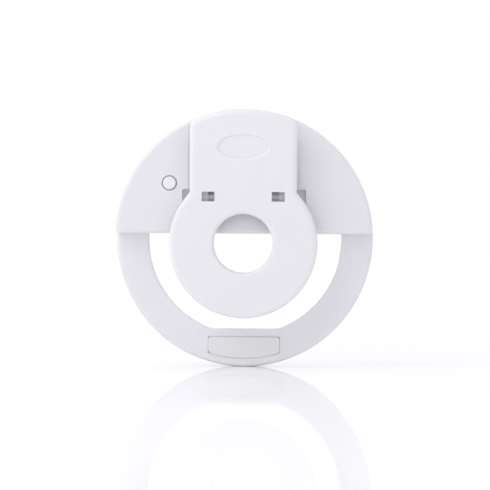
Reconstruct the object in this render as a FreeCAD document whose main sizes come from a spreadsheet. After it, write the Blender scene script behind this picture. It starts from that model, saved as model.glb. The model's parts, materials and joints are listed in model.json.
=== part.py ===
import FreeCAD, Part
import Sketcher
import math
import os
import re

# Clip-on selfie ring light, 85 mm across and about 27 mm deep, in millimetres.
# X points right as seen from behind, Y points the way the light shines, Z is up.
# The origin is on the ring's axis, in the plane of the ring's back, where a phone rests.
# Everything behind that plane (the battery housing and the sprung clip) has a negative Y.

os.makedirs("parts", exist_ok=True)
doc = FreeCAD.newDocument("clip_on_ring_light")
sheet = doc.addObject("Spreadsheet::Sheet", "dims")

sizes = [
    ("ring_radius", 42.5, "outside of the ring and of the half-moon housing"),
    ("ring_width", 10.5, "ring, from its opening to its rim"),
    ("opening_flat_rise", 2.0, "flat at the foot of the opening, inside its radius"),
    ("parting_y", 2.5, "seam between the back and the front casing"),
    ("rim_y", 7.9, "front edge of the ring's walls"),
    ("shell_wall", 1.5, "walls of both casings"),
    ("web_thickness", 1.5, "floor of the front casing"),
    ("shell_rounding", 1.2, "outer edges of both casings"),
    ("opening_rounding", 0.6, "edges of the opening"),
    ("lip_depth", 0.8, "locating lip of the front casing"),
    ("lip_thickness", 1.0, "locating lip of the front casing"),
    ("lip_clearance", 0.1, "locating lip to the back casing's wall"),
    ("housing_depth", 7.5, "half-moon housing behind the ring's back"),
    ("housing_edge_z", 1.5, "lower edge of the half-moon housing"),
    ("housing_corner", 1.4, "lower corners of the half-moon housing"),
    ("housing_back_wall", 1.8, "back wall of the half-moon housing"),
    ("stop_step", 0.2, "top of the opening above the housing's lower edge, where a phone stops"),
    ("pocket_margin", 2.85, "hinge pocket beyond the tab's sides"),
    ("pocket_drop", 4.2, "hinge axis to the pocket's lower side"),
    ("pocket_lift", 2.8, "hinge axis to the pocket's upper side"),
    ("pocket_depth", 2.2, "hinge pocket below the housing's back"),
    ("pocket_wall", 1.2, "tub behind the hinge pocket"),
    ("pocket_rounding", 0.6, "corners of the hinge pocket"),
    ("channel_margin", 0.9, "shallow channel beyond the tab's sides"),
    ("channel_depth", 0.25, "shallow channel under the clip's tab"),
    ("pin_rise", 2.0, "hinge axis behind the housing's back"),
    ("pin_z", 13.2, "hinge axis above the ring's axis"),
    ("pin_radius", 1.0, "hinge pin"),
    ("pin_overhang", 0.7, "hinge pin beyond the clip's ears"),
    ("pin_chamfer", 0.25, "ends of the hinge pin"),
    ("pin_seat_clearance", 0.02, "hinge pin in the housing's posts"),
    ("pin_running_clearance", 0.06, "hinge pin in the clip's ears"),
    ("post_width", 2.4, "hinge post along the pin"),
    ("post_radius", 2.4, "rounded top of a hinge post"),
    ("post_root", 0.6, "hinge post let into the floor of its pocket"),
    ("ear_inset", 0.9, "clip's ear inside the tab's side"),
    ("ear_clearance", 0.3, "hinge post to the clip's ear"),
    ("ear_width", 2.3, "clip's ear along the pin"),
    ("ear_radius", 2.3, "rounded end of the clip's ear"),
    ("ear_root", 0.6, "ears let into the clip's plate"),
    ("clip_thickness", 2.5, "plate of the clip"),
    ("clip_standoff", 3.4, "hinge axis to the inner face of the clip's plate"),
    ("clip_tilt", 6.0, "lean of the clip at rest, in degrees"),
    ("clip_rounding", 1.6, "outer edge of the clip"),
    ("clip_inner_rounding", 0.4, "inner edge of the clip"),
    ("disc_radius", 24.35, "round foot of the clip"),
    ("disc_z", -1.75, "centre of the round foot, before the lean"),
    ("lens_hole_radius", 9.6, "hole for the phone's camera"),
    ("lens_hole_rise", 0.45, "that hole's centre above the round foot's centre"),
    ("lens_hole_rounding", 1.3, "outer edge of that hole"),
    ("tab_side_room", 25.0, "ring's rim to the side of the clip's thumb tab"),
    ("tab_inset", 0.2, "curved top of the tab inside the ring's outside"),
    ("tab_corner", 3.0, "upper corners of the tab"),
    ("neck_radius", 2.0, "inner corners between the tab and the round foot"),
    ("oval_half_width", 8.25, "floor of the oval thumb recess"),
    ("oval_half_height", 3.85, "floor of the oval thumb recess"),
    ("oval_z", 30.4, "oval thumb recess, before the lean"),
    ("oval_depth", 0.65, "oval thumb recess"),
    ("oval_rounding", 0.62, "rim of the oval thumb recess"),
    ("slot_offset", 0.15, "centre of a small window inside the hinge post's inner side"),
    ("slot_rise", 0.9, "centre of a small window above the hinge axis, before the lean"),
    ("slot_width", 4.2, "small window"),
    ("slot_height", 3.2, "small window"),
    ("gusset_rise", 13.0, "upward rib of an ear along the tab"),
    ("gusset_margin", 0.8, "downward rib of an ear below its heel"),
    ("gusset_front", 1.2, "hinge axis to the front edge of an ear's ribs"),
    ("gusset_half_height", 1.8, "front edge of an ear's ribs, either side of the hinge axis"),
    ("heel_inset", 1.2, "resting heel below the hinge pocket"),
    ("heel_radius", 1.2, "rounded heel of an ear that stops the clip"),
    ("heel_gap", 0.3, "resting heel to the housing's back"),
    ("clip_pad_hole_margin", 2.3, "soft pad inside the clip, round the camera hole"),
    ("clip_pad_rim_margin", 2.25, "soft pad inside the clip, inside the foot's rim"),
    ("clip_pad_gap", 1.0, "level ends of the soft pad below the housing, before the lean"),
    ("clip_pad_thickness", 3.0, "soft pad inside the clip"),
    ("clip_pad_seat", 0.5, "recess that holds the soft pad"),
    ("clip_pad_rounding", 0.8, "inner edges of the soft pad"),
    ("seat_clearance", 0.1, "soft pads to the sides of their recesses"),
    ("ring_pad_half_width", 11.75, "soft pad on the ring's back"),
    ("ring_pad_drop", 2.7, "soft pad on the ring's back below the opening's flat"),
    ("ring_pad_inset", 2.8, "soft pad on the ring's back inside the rim"),
    ("ring_pad_corner", 1.0, "corners of the soft pad"),
    ("ring_pad_seat", 0.8, "recess that holds the soft pad"),
    ("ring_pad_proud", 0.5, "soft pad beyond the ring's back"),
    ("spring_wire_radius", 0.45, "clip spring"),
    ("spring_play", 0.65, "hinge pin to the clip spring"),
    ("spring_turn_gap", 0.55, "between neighbouring turns of the clip spring"),
    ("spring_turns", 6, "whole turns of the clip spring"),
    ("spring_fixed_leg", 12.0, "leg that bears on the housing"),
    ("spring_moving_leg", 12.0, "leg that bears on the tab"),
    ("leg_groove_depth", 0.8, "groove in the housing for the fixed leg"),
    ("leg_groove_near", 3.8, "middle of the housing to the groove's near side"),
    ("leg_groove_far", 6.9, "middle of the housing to the groove's far side"),
    ("leg_groove_play", 0.8, "groove beyond the end of the leg"),
    ("spring_leg_gap", 0.3, "that leg to the tab"),
    ("screw_inset", 3.5, "casing screws inside the rim"),
    ("screw_first_angle", 37.0, "first casing screw, in degrees from X"),
    ("screw_step_angle", 53.0, "from one casing screw to the next"),
    ("screw_count", 3, "casing screws"),
    ("screw_radius", 1.0, "casing screw shank"),
    ("screw_length", 7.0, "casing screw into the back casing"),
    ("screw_head_radius", 1.8, "casing screw head"),
    ("screw_head_height", 0.8, "casing screw head"),
    ("cross_length", 2.0, "cross recess of a screw"),
    ("cross_width", 0.5, "cross recess of a screw"),
    ("cross_depth", 0.4, "cross recess of a screw"),
    ("screw_clearance", 0.02, "screw in its pilot hole"),
    ("screw_head_clearance", 0.2, "screw head in its counterbore"),
    ("boss_radius", 2.3, "screw boss"),
    ("board_gap", 0.0, "front face of the main board behind the ring's back"),
    ("board_thickness", 1.0, "main board"),
    ("board_margin", 0.4, "main board beyond the switch and the charging socket"),
    ("board_rim_gap", 1.4, "curved edge of the main board to the rim's wall"),
    ("board_post_radius", 1.7, "posts that carry the main board"),
    ("board_post_inset", 3.0, "lower post inside the board's corner"),
    ("board_post_gap", 0.3, "upper post to the button's collar"),
    ("board_screw_radius", 0.8, "main board screw"),
    ("board_screw_length", 4.0, "main board screw under its head"),
    ("board_screw_head_radius", 1.5, "main board screw head"),
    ("board_screw_head_height", 0.9, "main board screw head"),
    ("board_tub_gap", 0.4, "main board beside the hinge tub"),
    ("board_boss_gap", 0.52, "main board below the screw boss over it"),
    ("button_radius", 2.25, "power button cap"),
    ("button_clearance", 0.2, "power button cap in its hole"),
    ("button_hole_rounding", 0.35, "rim of the hole for the power button"),
    ("button_proud", 0.4, "power button cap beyond the housing"),
    ("button_rounding", 0.35, "edge of the power button cap"),
    ("button_flange_radius", 3.1, "flange that keeps the cap in"),
    ("button_flange_thickness", 0.7, "flange that keeps the cap in"),
    ("button_flange_gap", 0.1, "flange to the housing's wall"),
    ("button_stem_radius", 1.2, "stem of the power button cap"),
    ("collar_wall", 0.9, "collar round the button's flange"),
    ("collar_depth", 1.4, "collar round the button's flange"),
    ("switch_side", 4.5, "housing of the push switch"),
    ("switch_height", 2.0, "housing of the push switch"),
    ("plunger_radius", 1.1, "plunger of the push switch"),
    ("plunger_rise", 0.7, "plunger beyond its housing"),
    ("plunger_inside", 0.9, "plunger inside its housing"),
    ("plunger_bore", 1.4, "depth of the plunger's bore"),
    ("plunger_clearance", 0.08, "plunger in its housing"),
    ("button_play", 0.05, "cap's stem to the plunger"),
    ("usb_z", 8.0, "charging socket"),
    ("usb_recess", 2.0, "mouth of the charging socket inside the rim"),
    ("usb_width", 7.5, "charging socket shell"),
    ("usb_height", 2.7, "charging socket shell"),
    ("usb_length", 5.2, "charging socket shell"),
    ("usb_sheet", 0.3, "metal of the charging socket shell"),
    ("usb_clearance", 0.3, "charging socket in the casing's cut-out"),
    ("tongue_width", 3.8, "contact tongue of the charging socket"),
    ("tongue_thickness", 0.7, "contact tongue of the charging socket"),
    ("tongue_recess", 0.8, "contact tongue behind the socket's mouth"),
    ("part_gap", 0.6, "between neighbouring parts of the main board"),
    ("chip_length", 5.0, "controller chip"),
    ("chip_width", 3.9, "controller chip"),
    ("chip_height", 1.5, "controller chip"),
    ("chip_leg_count", 4, "legs on each side of the controller chip"),
    ("chip_leg_pitch", 1.27, "legs of the controller chip"),
    ("chip_leg_width", 0.4, "legs of the controller chip"),
    ("chip_leg_length", 1.0, "legs of the controller chip"),
    ("chip_leg_height", 0.6, "legs of the controller chip"),
    ("lamp_width", 0.8, "charge lamp"),
    ("lamp_length", 1.6, "charge lamp"),
    ("lamp_height", 0.7, "charge lamp"),
    ("inductor_side", 3.0, "inductor"),
    ("inductor_height", 1.4, "inductor"),
    ("small_part_count", 3, "small passive parts in a row"),
    ("small_part_length", 1.6, "small passive part"),
    ("small_part_width", 0.8, "small passive part"),
    ("small_part_height", 0.9, "small passive part"),
    ("diode_length", 2.0, "diode"),
    ("diode_width", 1.2, "diode"),
    ("diode_height", 1.2, "diode"),
    ("battery_width", 26.0, "battery cell"),
    ("battery_rim_gap", 2.9, "upper corners of the battery cell to the rim's wall"),
    ("battery_thickness", 4.0, "battery cell"),
    ("battery_gap", 2.6, "battery cell above the hinge tub"),
    ("battery_rounding", 1.2, "long edges of the battery cell"),
    ("tape_thickness", 0.8, "foam tape behind the battery cell"),
    ("tape_margin", 2.0, "battery cell beyond its foam tape"),
    ("guard_thickness", 0.8, "protection board at the end of the cell"),
    ("guard_margin", 2.5, "cell's corners to the protection board"),
    ("rib_thickness", 1.0, "ribs beside the battery cell"),
    ("rib_height", 2.5, "ribs beside the battery cell"),
    ("rib_gap", 0.3, "ribs to the protection board or the cell"),
    ("rib_inset", 2.0, "ends of a rib inside the cell's ends"),
    ("lead_radius", 0.5, "insulated leads"),
    ("lead_spacing", 1.6, "from one lead to its neighbour"),
    ("lead_gap", 0.4, "leads to the post beside them"),
    ("led_board_gap", 1.2, "ring-shaped lamp board to the ring's walls"),
    ("led_board_thickness", 0.8, "ring-shaped lamp board"),
    ("led_count", 36, "lamps round the ring"),
    ("led_length", 3.5, "lamp along the radius"),
    ("led_width", 2.8, "lamp round the ring"),
    ("led_height", 0.8, "lamp"),
    ("resistor_count", 12, "small resistors between the lamps"),
    ("resistor_length", 1.6, "small resistor"),
    ("resistor_width", 0.8, "small resistor"),
    ("resistor_height", 0.5, "small resistor"),
    ("ledge_width", 0.8, "ledges that carry the diffuser"),
    ("diffuser_thickness", 1.6, "edge of the diffuser"),
    ("diffuser_clearance", 0.15, "diffuser to the ring's walls"),
    ("diffuser_crown", 0.6, "crown of the diffuser above the walls"),
    ("lead_hole_radius", 1.8, "hole for the lamp leads in the front casing"),
    ("lead_hole_angle", 161.0, "hole for the lamp leads, in degrees from X"),
]

for row, (alias, number, note) in enumerate(sizes, start=1):
    sheet.set(f"A{row}", alias)
    sheet.set(f"B{row}", str(number))
    sheet.set(f"C{row}", note)
    sheet.setAlias(f"B{row}", alias)
doc.recompute()
aliases = {alias for alias, number, note in sizes}


def full(expression):
    """Write the sheet's name before each size in an expression."""
    return re.sub(r"[a-z_]+", lambda word: f"dims.{word[0]}" if word[0] in aliases else word[0], expression)


def value(expression):
    return float(sheet.evalExpression(full(expression)))


def bind(item, prop, expression):
    item.setExpression(prop, full(expression))


# Places that several pieces share, as expressions of the sizes.
housing_back = "-housing_depth"
chamber_back = "-(housing_depth - housing_back_wall)"
opening_radius = "(ring_radius - ring_width)"
opening_flat = f"({opening_radius} - opening_flat_rise)"
wall_inner_radius = "(ring_radius - shell_wall)"
wall_outer_radius = f"({opening_radius} + shell_wall)"
web_front = "(parting_y + web_thickness)"
diffuser_seat = "(rim_y - diffuser_thickness)"
screw_circle = "(ring_radius - screw_inset)"
led_circle = f"((ring_radius + {opening_radius}) / 2)"
led_board_inner = f"({wall_outer_radius} + led_board_gap)"
led_board_outer = f"({wall_inner_radius} - led_board_gap)"
ring_pad_top = f"(-{opening_flat} - ring_pad_drop)"
ring_pad_foot = "(ring_radius - ring_pad_inset)"

tab_half = "(ring_radius - tab_side_room)"
tab_top = "(ring_radius - tab_inset)"
pin_back = "(housing_depth + pin_rise)"
channel_side = f"({tab_half} + channel_margin)"
pocket_side = f"({tab_half} + pocket_margin)"
pocket_bottom = "(pin_z - pocket_drop)"
pocket_top = "(pin_z + pocket_lift)"
ear_outer_x = f"({tab_half} - ear_inset)"
ear_inner_x = f"({ear_outer_x} - ear_width)"
post_inner = f"({ear_inner_x} - ear_clearance - post_width)"
pin_length = f"(2 * ({ear_outer_x} + pin_overhang))"
slot_x = f"({post_inner} - slot_offset)"
slot_z = "(pin_z + slot_rise)"
heel_drop = "(pocket_drop + heel_inset + heel_radius)"
gusset_drop = f"({heel_drop} + heel_radius + gusset_margin)"
clip_inner = f"-({pin_back} + clip_standoff)"
clip_outer = f"-({pin_back} + clip_standoff + clip_thickness)"
pad_floor = f"({clip_inner} - clip_pad_seat)"
clip_pad_inner = "(lens_hole_radius + clip_pad_hole_margin)"
clip_pad_outer = "(disc_radius - clip_pad_rim_margin)"
clip_pad_top = "(housing_edge_z - clip_pad_gap)"

board_back = "-(board_gap + board_thickness)"
board_radius = f"({wall_inner_radius} - board_rim_gap)"
board_right_x = f"(-{pocket_side} - pocket_wall - board_tub_gap)"
button_x = f"({board_right_x} - board_margin - switch_side / 2)"
last_screw_angle = "(screw_first_angle + screw_step_angle * (screw_count - 1))"
board_top_z = f"({screw_circle} * sin({last_screw_angle}) - boss_radius - board_boss_gap)"
button_z = f"({board_top_z} - board_margin - switch_side / 2)"
board_bottom_z = "(usb_z - usb_width / 2 - board_margin)"
usb_mouth = "(usb_recess - ring_radius)"
collar_bore = "(button_flange_radius + button_clearance)"
low_post = (f"({board_right_x} - board_post_inset)", f"({board_bottom_z} + board_post_inset)")
high_post = (f"({button_x} - {collar_bore} - collar_wall - board_post_gap - board_post_radius)", button_z)
board_posts = [low_post, high_post]
plunger_tip = f"({board_back} - switch_height - plunger_rise)"
battery_back = f"({chamber_back} + tape_thickness)"
battery_bottom = f"({pocket_top} + pocket_wall + battery_gap)"
battery_corner_radius = f"({wall_inner_radius} - battery_rim_gap)"
battery_height = f"(sqrt({battery_corner_radius} ^ 2 - (battery_width / 2) ^ 2) - {battery_bottom})"
battery_middle_z = f"({battery_bottom} + {battery_height} / 2)"

normals = {"XY_Plane": "+Z", "XZ_Plane": "-Y", "YZ_Plane": "+X"}


class Outline:
    """A sketch on one of its body's origin planes, with every size bound to the sheet."""

    def __init__(self, body, plane, name, place="0"):
        origin_plane = next(f for f in body.Origin.OriginFeatures if f.Role == plane)
        self.body = body
        self.normal = normals[plane]
        self.sketch = body.newObject("Sketcher::SketchObject", name)
        self.sketch.AttachmentSupport = [(origin_plane, "")]
        self.sketch.MapMode = "FlatFace"
        sign = "-" if self.normal.startswith("-") else ""
        bind(self.sketch, "AttachmentOffset.Base.z", f"{sign}({place})")

    def constrain(self, *terms):
        return self.sketch.addConstraint(Sketcher.Constraint(*terms))

    def measure(self, kind, *terms, size):
        number = self.constrain(kind, *terms, value(size))
        self.sketch.setExpression(f"Constraints[{number}]", full(size))

    def from_origin(self, kind, geometry, point, size):
        """Hold a point at a distance from the origin, on whichever side its sign says."""
        if value(size) < 0:
            self.measure(kind, geometry, point, -1, 1, size=f"-({size})")
        else:
            self.measure(kind, -1, 1, geometry, point, size=size)

    def place_point(self, geometry, point, x, y):
        for kind, size, axis in (("DistanceX", x, -2), ("DistanceY", y, -1)):
            if size == "0":
                self.constrain("PointOnObject", geometry, point, axis)
            else:
                self.from_origin(kind, geometry, point, size)

    def circle(self, x, y, radius):
        centre = FreeCAD.Vector(value(x), value(y), 0)
        ring = self.sketch.addGeometry(Part.Circle(centre, FreeCAD.Vector(0, 0, 1), value(radius)))
        self.place_point(ring, 3, x, y)
        self.measure("Radius", ring, size=radius)
        return self

    def ellipse(self, x, y, half_width, half_height):
        centre = FreeCAD.Vector(value(x), value(y), 0)
        across = centre + FreeCAD.Vector(value(half_width), 0, 0)
        along = centre + FreeCAD.Vector(0, value(half_height), 0)
        oval = self.sketch.addGeometry(Part.Ellipse(across, along, centre))
        self.sketch.exposeInternalGeometry(oval)
        major, minor = oval + 1, oval + 2
        self.place_point(oval, 3, x, y)
        self.constrain("Horizontal", major)
        self.measure("Distance", major, size=f"2 * {half_width}")
        self.measure("Distance", minor, size=f"2 * {half_height}")
        return self

    def polygon(self, *corners):
        points = [FreeCAD.Vector(value(x), value(y), 0) for x, y in corners]
        count = len(points)
        lines = [
            self.sketch.addGeometry(Part.LineSegment(points[i], points[(i + 1) % count]))
            for i in range(count)
        ]
        for i, line in enumerate(lines):
            self.constrain("Coincident", line, 2, lines[(i + 1) % count], 1)
            self.place_point(line, 1, *corners[i])
        return self

    def rectangle(self, left, bottom, right, top):
        return self.polygon((left, bottom), (right, bottom), (right, top), (left, top))

    def arc(self, radius, start, end, centre=("0", "0"), placed=True):
        """An anticlockwise arc between two points. Its centre is held in place unless placed is False."""
        middle = FreeCAD.Vector(value(centre[0]), value(centre[1]), 0)
        circle = Part.Circle(middle, FreeCAD.Vector(0, 0, 1), value(radius))
        turns = [math.atan2(value(y) - middle.y, value(x) - middle.x) for x, y in (start, end)]
        if turns[1] < turns[0]:
            turns[1] += 2 * math.pi
        bow = self.sketch.addGeometry(Part.ArcOfCircle(circle, *turns))
        if placed:
            self.place_point(bow, 3, *centre)
        self.measure("Radius", bow, size=radius)
        return bow

    def line(self, start, end):
        points = [FreeCAD.Vector(value(x), value(y), 0) for x, y in (start, end)]
        return self.sketch.addGeometry(Part.LineSegment(*points))

    def level(self, line, height):
        """Hold a line level at a height."""
        self.constrain("Horizontal", line)
        if height == "0":
            self.constrain("PointOnObject", line, 1, -1)
        else:
            self.from_origin("DistanceY", line, 1, height)

    def join(self, *ends):
        """Join the pieces of a loop, each given with its first and last point number."""
        for (piece, first, last), (following, start, end) in zip(ends, ends[1:] + ends[:1]):
            self.constrain("Coincident", piece, last, following, start)
        return self

    def half_moon(self, radius, edge):
        """A round segment above a level edge."""
        reach = f"sqrt({radius} ^ 2 - ({edge}) ^ 2)"
        bow = self.arc(radius, (reach, edge), (f"-{reach}", edge))
        base = self.line((f"-{reach}", edge), (reach, edge))
        self.level(base, edge)
        return self.join((bow, 1, 2), (base, 1, 2))

    def soft_half_moon(self, radius, edge, corner):
        """A round segment above a level edge, with rounded lower corners."""
        height = f"({edge} + {corner})"
        reach = f"sqrt(({radius} - {corner}) ^ 2 - {height} ^ 2)"
        out = f"{radius} / ({radius} - {corner})"
        right_side = (f"{reach} * {out}", f"{height} * {out}")
        left_side = (f"-{reach} * {out}", f"{height} * {out}")
        bow = self.arc(radius, right_side, left_side)
        left = self.arc(corner, left_side, (f"-{reach}", edge), (f"-{reach}", height), placed=False)
        base = self.line((f"-{reach}", edge), (reach, edge))
        right = self.arc(corner, (reach, edge), right_side, (reach, height), placed=False)
        self.level(base, edge)
        self.from_origin("DistanceX", base, 1, f"-{reach}")
        self.from_origin("DistanceX", base, 2, reach)
        self.from_origin("DistanceX", bow, 1, right_side[0])
        self.from_origin("DistanceX", bow, 2, left_side[0])
        return self.join((bow, 1, 2), (left, 1, 2), (base, 1, 2), (right, 1, 2))

    def horseshoe(self, outer, inner, top, middle="0"):
        """The lower part of a ring whose two ends are level."""
        outer_reach = f"sqrt({outer} ^ 2 - ({top} - {middle}) ^ 2)"
        inner_reach = f"sqrt({inner} ^ 2 - ({top} - {middle}) ^ 2)"
        outside = self.arc(outer, (f"-{outer_reach}", top), (outer_reach, top), ("0", middle))
        right = self.line((outer_reach, top), (inner_reach, top))
        inside = self.arc(inner, (f"-{inner_reach}", top), (inner_reach, top), ("0", middle))
        left = self.line((f"-{inner_reach}", top), (f"-{outer_reach}", top))
        self.level(right, top)
        self.level(left, top)
        return self.join((outside, 1, 2), (right, 1, 2), (inside, 2, 1), (left, 1, 2))

    def window(self, radius, top, foot):
        """A round opening cut level at its foot and, unless top is empty, at its top."""
        foot_reach = f"sqrt({radius} ^ 2 - ({foot}) ^ 2)"
        base = self.line((f"-{foot_reach}", f"-{foot}"), (foot_reach, f"-{foot}"))
        self.level(base, f"-{foot}")
        if not top:
            bow = self.arc(radius, (foot_reach, f"-{foot}"), (f"-{foot_reach}", f"-{foot}"))
            return self.join((base, 1, 2), (bow, 1, 2))
        top_reach = f"sqrt({radius} ^ 2 - ({top}) ^ 2)"
        right = self.arc(radius, (foot_reach, f"-{foot}"), (top_reach, top))
        edge = self.line((top_reach, top), (f"-{top_reach}", top))
        left = self.arc(radius, (f"-{top_reach}", top), (f"-{foot_reach}", f"-{foot}"))
        self.level(edge, top)
        return self.join((base, 1, 2), (right, 1, 2), (edge, 1, 2), (left, 1, 2))


def pad(outline, name, depth, toward):
    body = outline.body
    before = body.Shape.Volume if not body.Shape.isNull() else 0
    feature = body.newObject("PartDesign::Pad", name)
    feature.Profile = outline.sketch
    bind(feature, "Length", depth)
    feature.Reversed = toward != outline.normal
    doc.recompute()
    if not feature.Shape.isValid() or not feature.Shape.Volume > before:
        raise RuntimeError(f"{body.Label}: {name} adds nothing")
    return feature


def pocket(outline, name, depth, toward):
    body = outline.body
    before = body.Shape.Volume
    feature = body.newObject("PartDesign::Pocket", name)
    feature.Profile = outline.sketch
    bind(feature, "Length", depth)
    feature.Reversed = toward == outline.normal
    doc.recompute()
    if not feature.Shape.isValid() or not feature.Shape.Volume < before:
        raise RuntimeError(f"{body.Label}: {name} cuts nothing")
    return feature


def revolve(outline, name):
    """Turn a profile drawn on the XY plane round the ring's axis or one parallel to it."""
    feature = outline.body.newObject("PartDesign::Revolution", name)
    feature.Profile = outline.sketch
    feature.ReferenceAxis = (outline.sketch, ["V_Axis"])
    feature.Angle = 360
    doc.recompute()
    return feature


def mirror(body, name, features):
    """Copy features to the other side of the middle plane."""
    middle = next(f for f in body.Origin.OriginFeatures if f.Role == "YZ_Plane")
    feature = body.newObject("PartDesign::Mirrored", name)
    feature.Originals = features
    feature.MirrorPlane = (middle, [""])
    body.Tip = feature
    doc.recompute()
    return feature


def polar(body, name, features, outline, span, count):
    """Repeat features round the ring's axis, anticlockwise as seen from behind."""
    feature = body.newObject("PartDesign::PolarPattern", name)
    feature.Originals = features
    feature.Axis = (outline.sketch, ["N_Axis"])
    bind(feature, "Angle", span)
    bind(feature, "Occurrences", count)
    body.Tip = feature
    doc.recompute()
    return feature


def spread_points(edge):
    """Five points from one end of an edge to the other, or none on a pole."""
    if edge.Degenerated or edge.Length < 1e-6:
        return []
    first, last = edge.FirstParameter, edge.LastParameter
    return [edge.valueAt(first + (last - first) * i / 4) for i in range(5)]


def fillet(body, name, radius, wanted):
    """Round the edges whose points all pass a test."""
    base = body.Tip
    names = []
    for number, edge in enumerate(base.Shape.Edges, start=1):
        points = spread_points(edge)
        if points and all(wanted(point) for point in points):
            names.append(f"Edge{number}")
    if not names:
        raise RuntimeError(f"{body.Label}: {name} finds no edge")
    feature = body.newObject("PartDesign::Fillet", name)
    feature.Base = (base, names)
    bind(feature, "Radius", radius)
    doc.recompute()
    if not feature.Shape.isValid():
        raise RuntimeError(f"{body.Label}: {name} isn't valid")
    return feature


def near(number, expression, slack=0.01):
    return abs(number - value(expression)) < slack


def from_axis(point):
    return math.hypot(point.x, point.z)


def new_body(label):
    body = doc.addObject("PartDesign::Body", label)
    body.Label = label
    return body


def lean(item):
    """Turn a piece of the clip about the hinge axis to its lean at rest."""
    item.Placement = FreeCAD.Placement(FreeCAD.Vector(0, 0, 0), FreeCAD.Rotation(FreeCAD.Vector(1, 0, 0), 1))
    bind(item, "Placement.Rotation.Angle", "clip_tilt")
    bind(item, "Placement.Base.y", f"-{pin_back} + {pin_back} * cos(clip_tilt) + pin_z * sin(clip_tilt)")
    bind(item, "Placement.Base.z", f"pin_z + {pin_back} * sin(clip_tilt) - pin_z * cos(clip_tilt)")


def block(name, left, back, bottom, width, depth, height):
    """A box given by its lowest corner and its sizes along X, Y and Z."""
    box = doc.addObject("Part::Box", name)
    for prop, size in (("Length", width), ("Width", depth), ("Height", height)):
        bind(box, prop, size)
    for axis, place in (("x", left), ("y", back), ("z", bottom)):
        bind(box, f"Placement.Base.{axis}", place)
    return box


def rod(name, x, back, z, radius, depth):
    """A round bar along Y, from its back end forward."""
    bar = doc.addObject("Part::Cylinder", name)
    bar.Placement = FreeCAD.Placement(FreeCAD.Vector(0, 0, 0), FreeCAD.Rotation(FreeCAD.Vector(1, 0, 0), -90))
    bind(bar, "Radius", radius)
    bind(bar, "Height", depth)
    for axis, place in (("x", x), ("y", back), ("z", z)):
        bind(bar, f"Placement.Base.{axis}", place)
    return bar


def cut(label, base, tool):
    result = doc.addObject("Part::Cut", label)
    result.Base = base
    result.Tool = tool
    return result


def fuse(label, pieces):
    result = doc.addObject("Part::MultiFuse", label)
    result.Shapes = pieces
    return result


def group(label, pieces):
    result = doc.addObject("Part::Compound", label)
    result.Links = pieces
    return result


def build_rear_shell():
    """Back casing: the ring's back, the half-moon battery housing and its hinge posts."""
    body = new_body("rear_shell")

    plate = Outline(body, "XZ_Plane", "ring_back_outline", "parting_y")
    plate.circle("0", "0", "ring_radius")
    plate.window(opening_radius, "housing_edge_z", opening_flat)
    pad(plate, "ring_back", "parting_y", "-Y")

    def ring_edge(p):
        return near(p.y, "0") and near(from_axis(p), "ring_radius")

    def opening_edge(p):
        inside = near(from_axis(p), opening_radius) or near(p.z, f"-{opening_flat}")
        return near(p.y, "0") and inside

    fillet(body, "ring_rounding", "shell_rounding", ring_edge)
    fillet(body, "opening_edge_rounding", "opening_rounding", opening_edge)

    moon = Outline(body, "XZ_Plane", "housing_outline", "parting_y")
    moon.soft_half_moon("ring_radius", "housing_edge_z", "housing_corner")
    pad(moon, "housing", "parting_y + housing_depth", "-Y")

    fillet(body, "housing_rounding", "shell_rounding", lambda p: near(p.y, housing_back))

    ditch = Outline(body, "XZ_Plane", "lamp_ditch_outline", "parting_y")
    ditch.circle("0", "0", wall_inner_radius)
    ditch.circle("0", "0", wall_outer_radius)
    pocket(ditch, "lamp_ditch", "parting_y - shell_wall", "-Y")

    chamber = Outline(body, "XZ_Plane", "chamber_outline", "parting_y")
    chamber.half_moon(wall_inner_radius, "housing_edge_z + shell_wall")
    pocket(chamber, "chamber", f"parting_y - ({chamber_back})", "-Y")

    reach = f"sqrt({opening_radius} ^ 2 - housing_edge_z ^ 2)"
    step = Outline(body, "XZ_Plane", "stop_step_outline", "parting_y")
    step.rectangle(f"-{reach}", "housing_edge_z - stop_step", reach, "housing_edge_z + stop_step")
    pocket(step, "stop_step", "parting_y", "-Y")

    tub_front = f"({housing_back} + pocket_depth + pocket_wall)"
    tub = Outline(body, "XZ_Plane", "tub_outline", tub_front)
    tub.rectangle(
        f"-{pocket_side} - pocket_wall", f"{pocket_bottom} - pocket_wall",
        f"{pocket_side} + pocket_wall", f"{pocket_top} + pocket_wall",
    )
    pad(tub, "hinge_tub", f"{tub_front} - ({chamber_back})", "-Y")

    hollow = Outline(body, "XZ_Plane", "hinge_pocket_outline", housing_back)
    hollow.rectangle(f"-{pocket_side}", pocket_bottom, pocket_side, pocket_top)
    pocket(hollow, "hinge_pocket", "pocket_depth", "+Y")

    def pocket_corner(p):
        level = near(p.z, pocket_bottom) or near(p.z, pocket_top)
        behind = p.y < value(f"{housing_back} + pocket_depth") + 0.01
        return near(abs(p.x), pocket_side) and level and behind

    fillet(body, "hinge_pocket_rounding", "pocket_rounding", pocket_corner)

    channel = Outline(body, "XZ_Plane", "tab_channel_outline", housing_back)
    channel.rectangle(
        f"-{channel_side}", f"{pocket_top} - pocket_rounding",
        channel_side, "ring_radius + shell_wall",
    )
    pocket(channel, "tab_channel", "channel_depth", "+Y")

    groove = Outline(body, "XZ_Plane", "leg_groove_outline", housing_back)
    groove.rectangle(
        "-leg_groove_far", f"{pocket_top} - pocket_rounding",
        "-leg_groove_near", "pin_z + spring_fixed_leg + leg_groove_play",
    )
    pocket(groove, "leg_groove", "leg_groove_depth", "+Y")

    add_hinge_posts(body)
    add_casing_bosses(body)
    add_board_posts(body)
    add_battery_ribs(body)
    add_button_hole(body)
    add_usb_cutout(body)
    add_ring_pad_seat(body)


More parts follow.
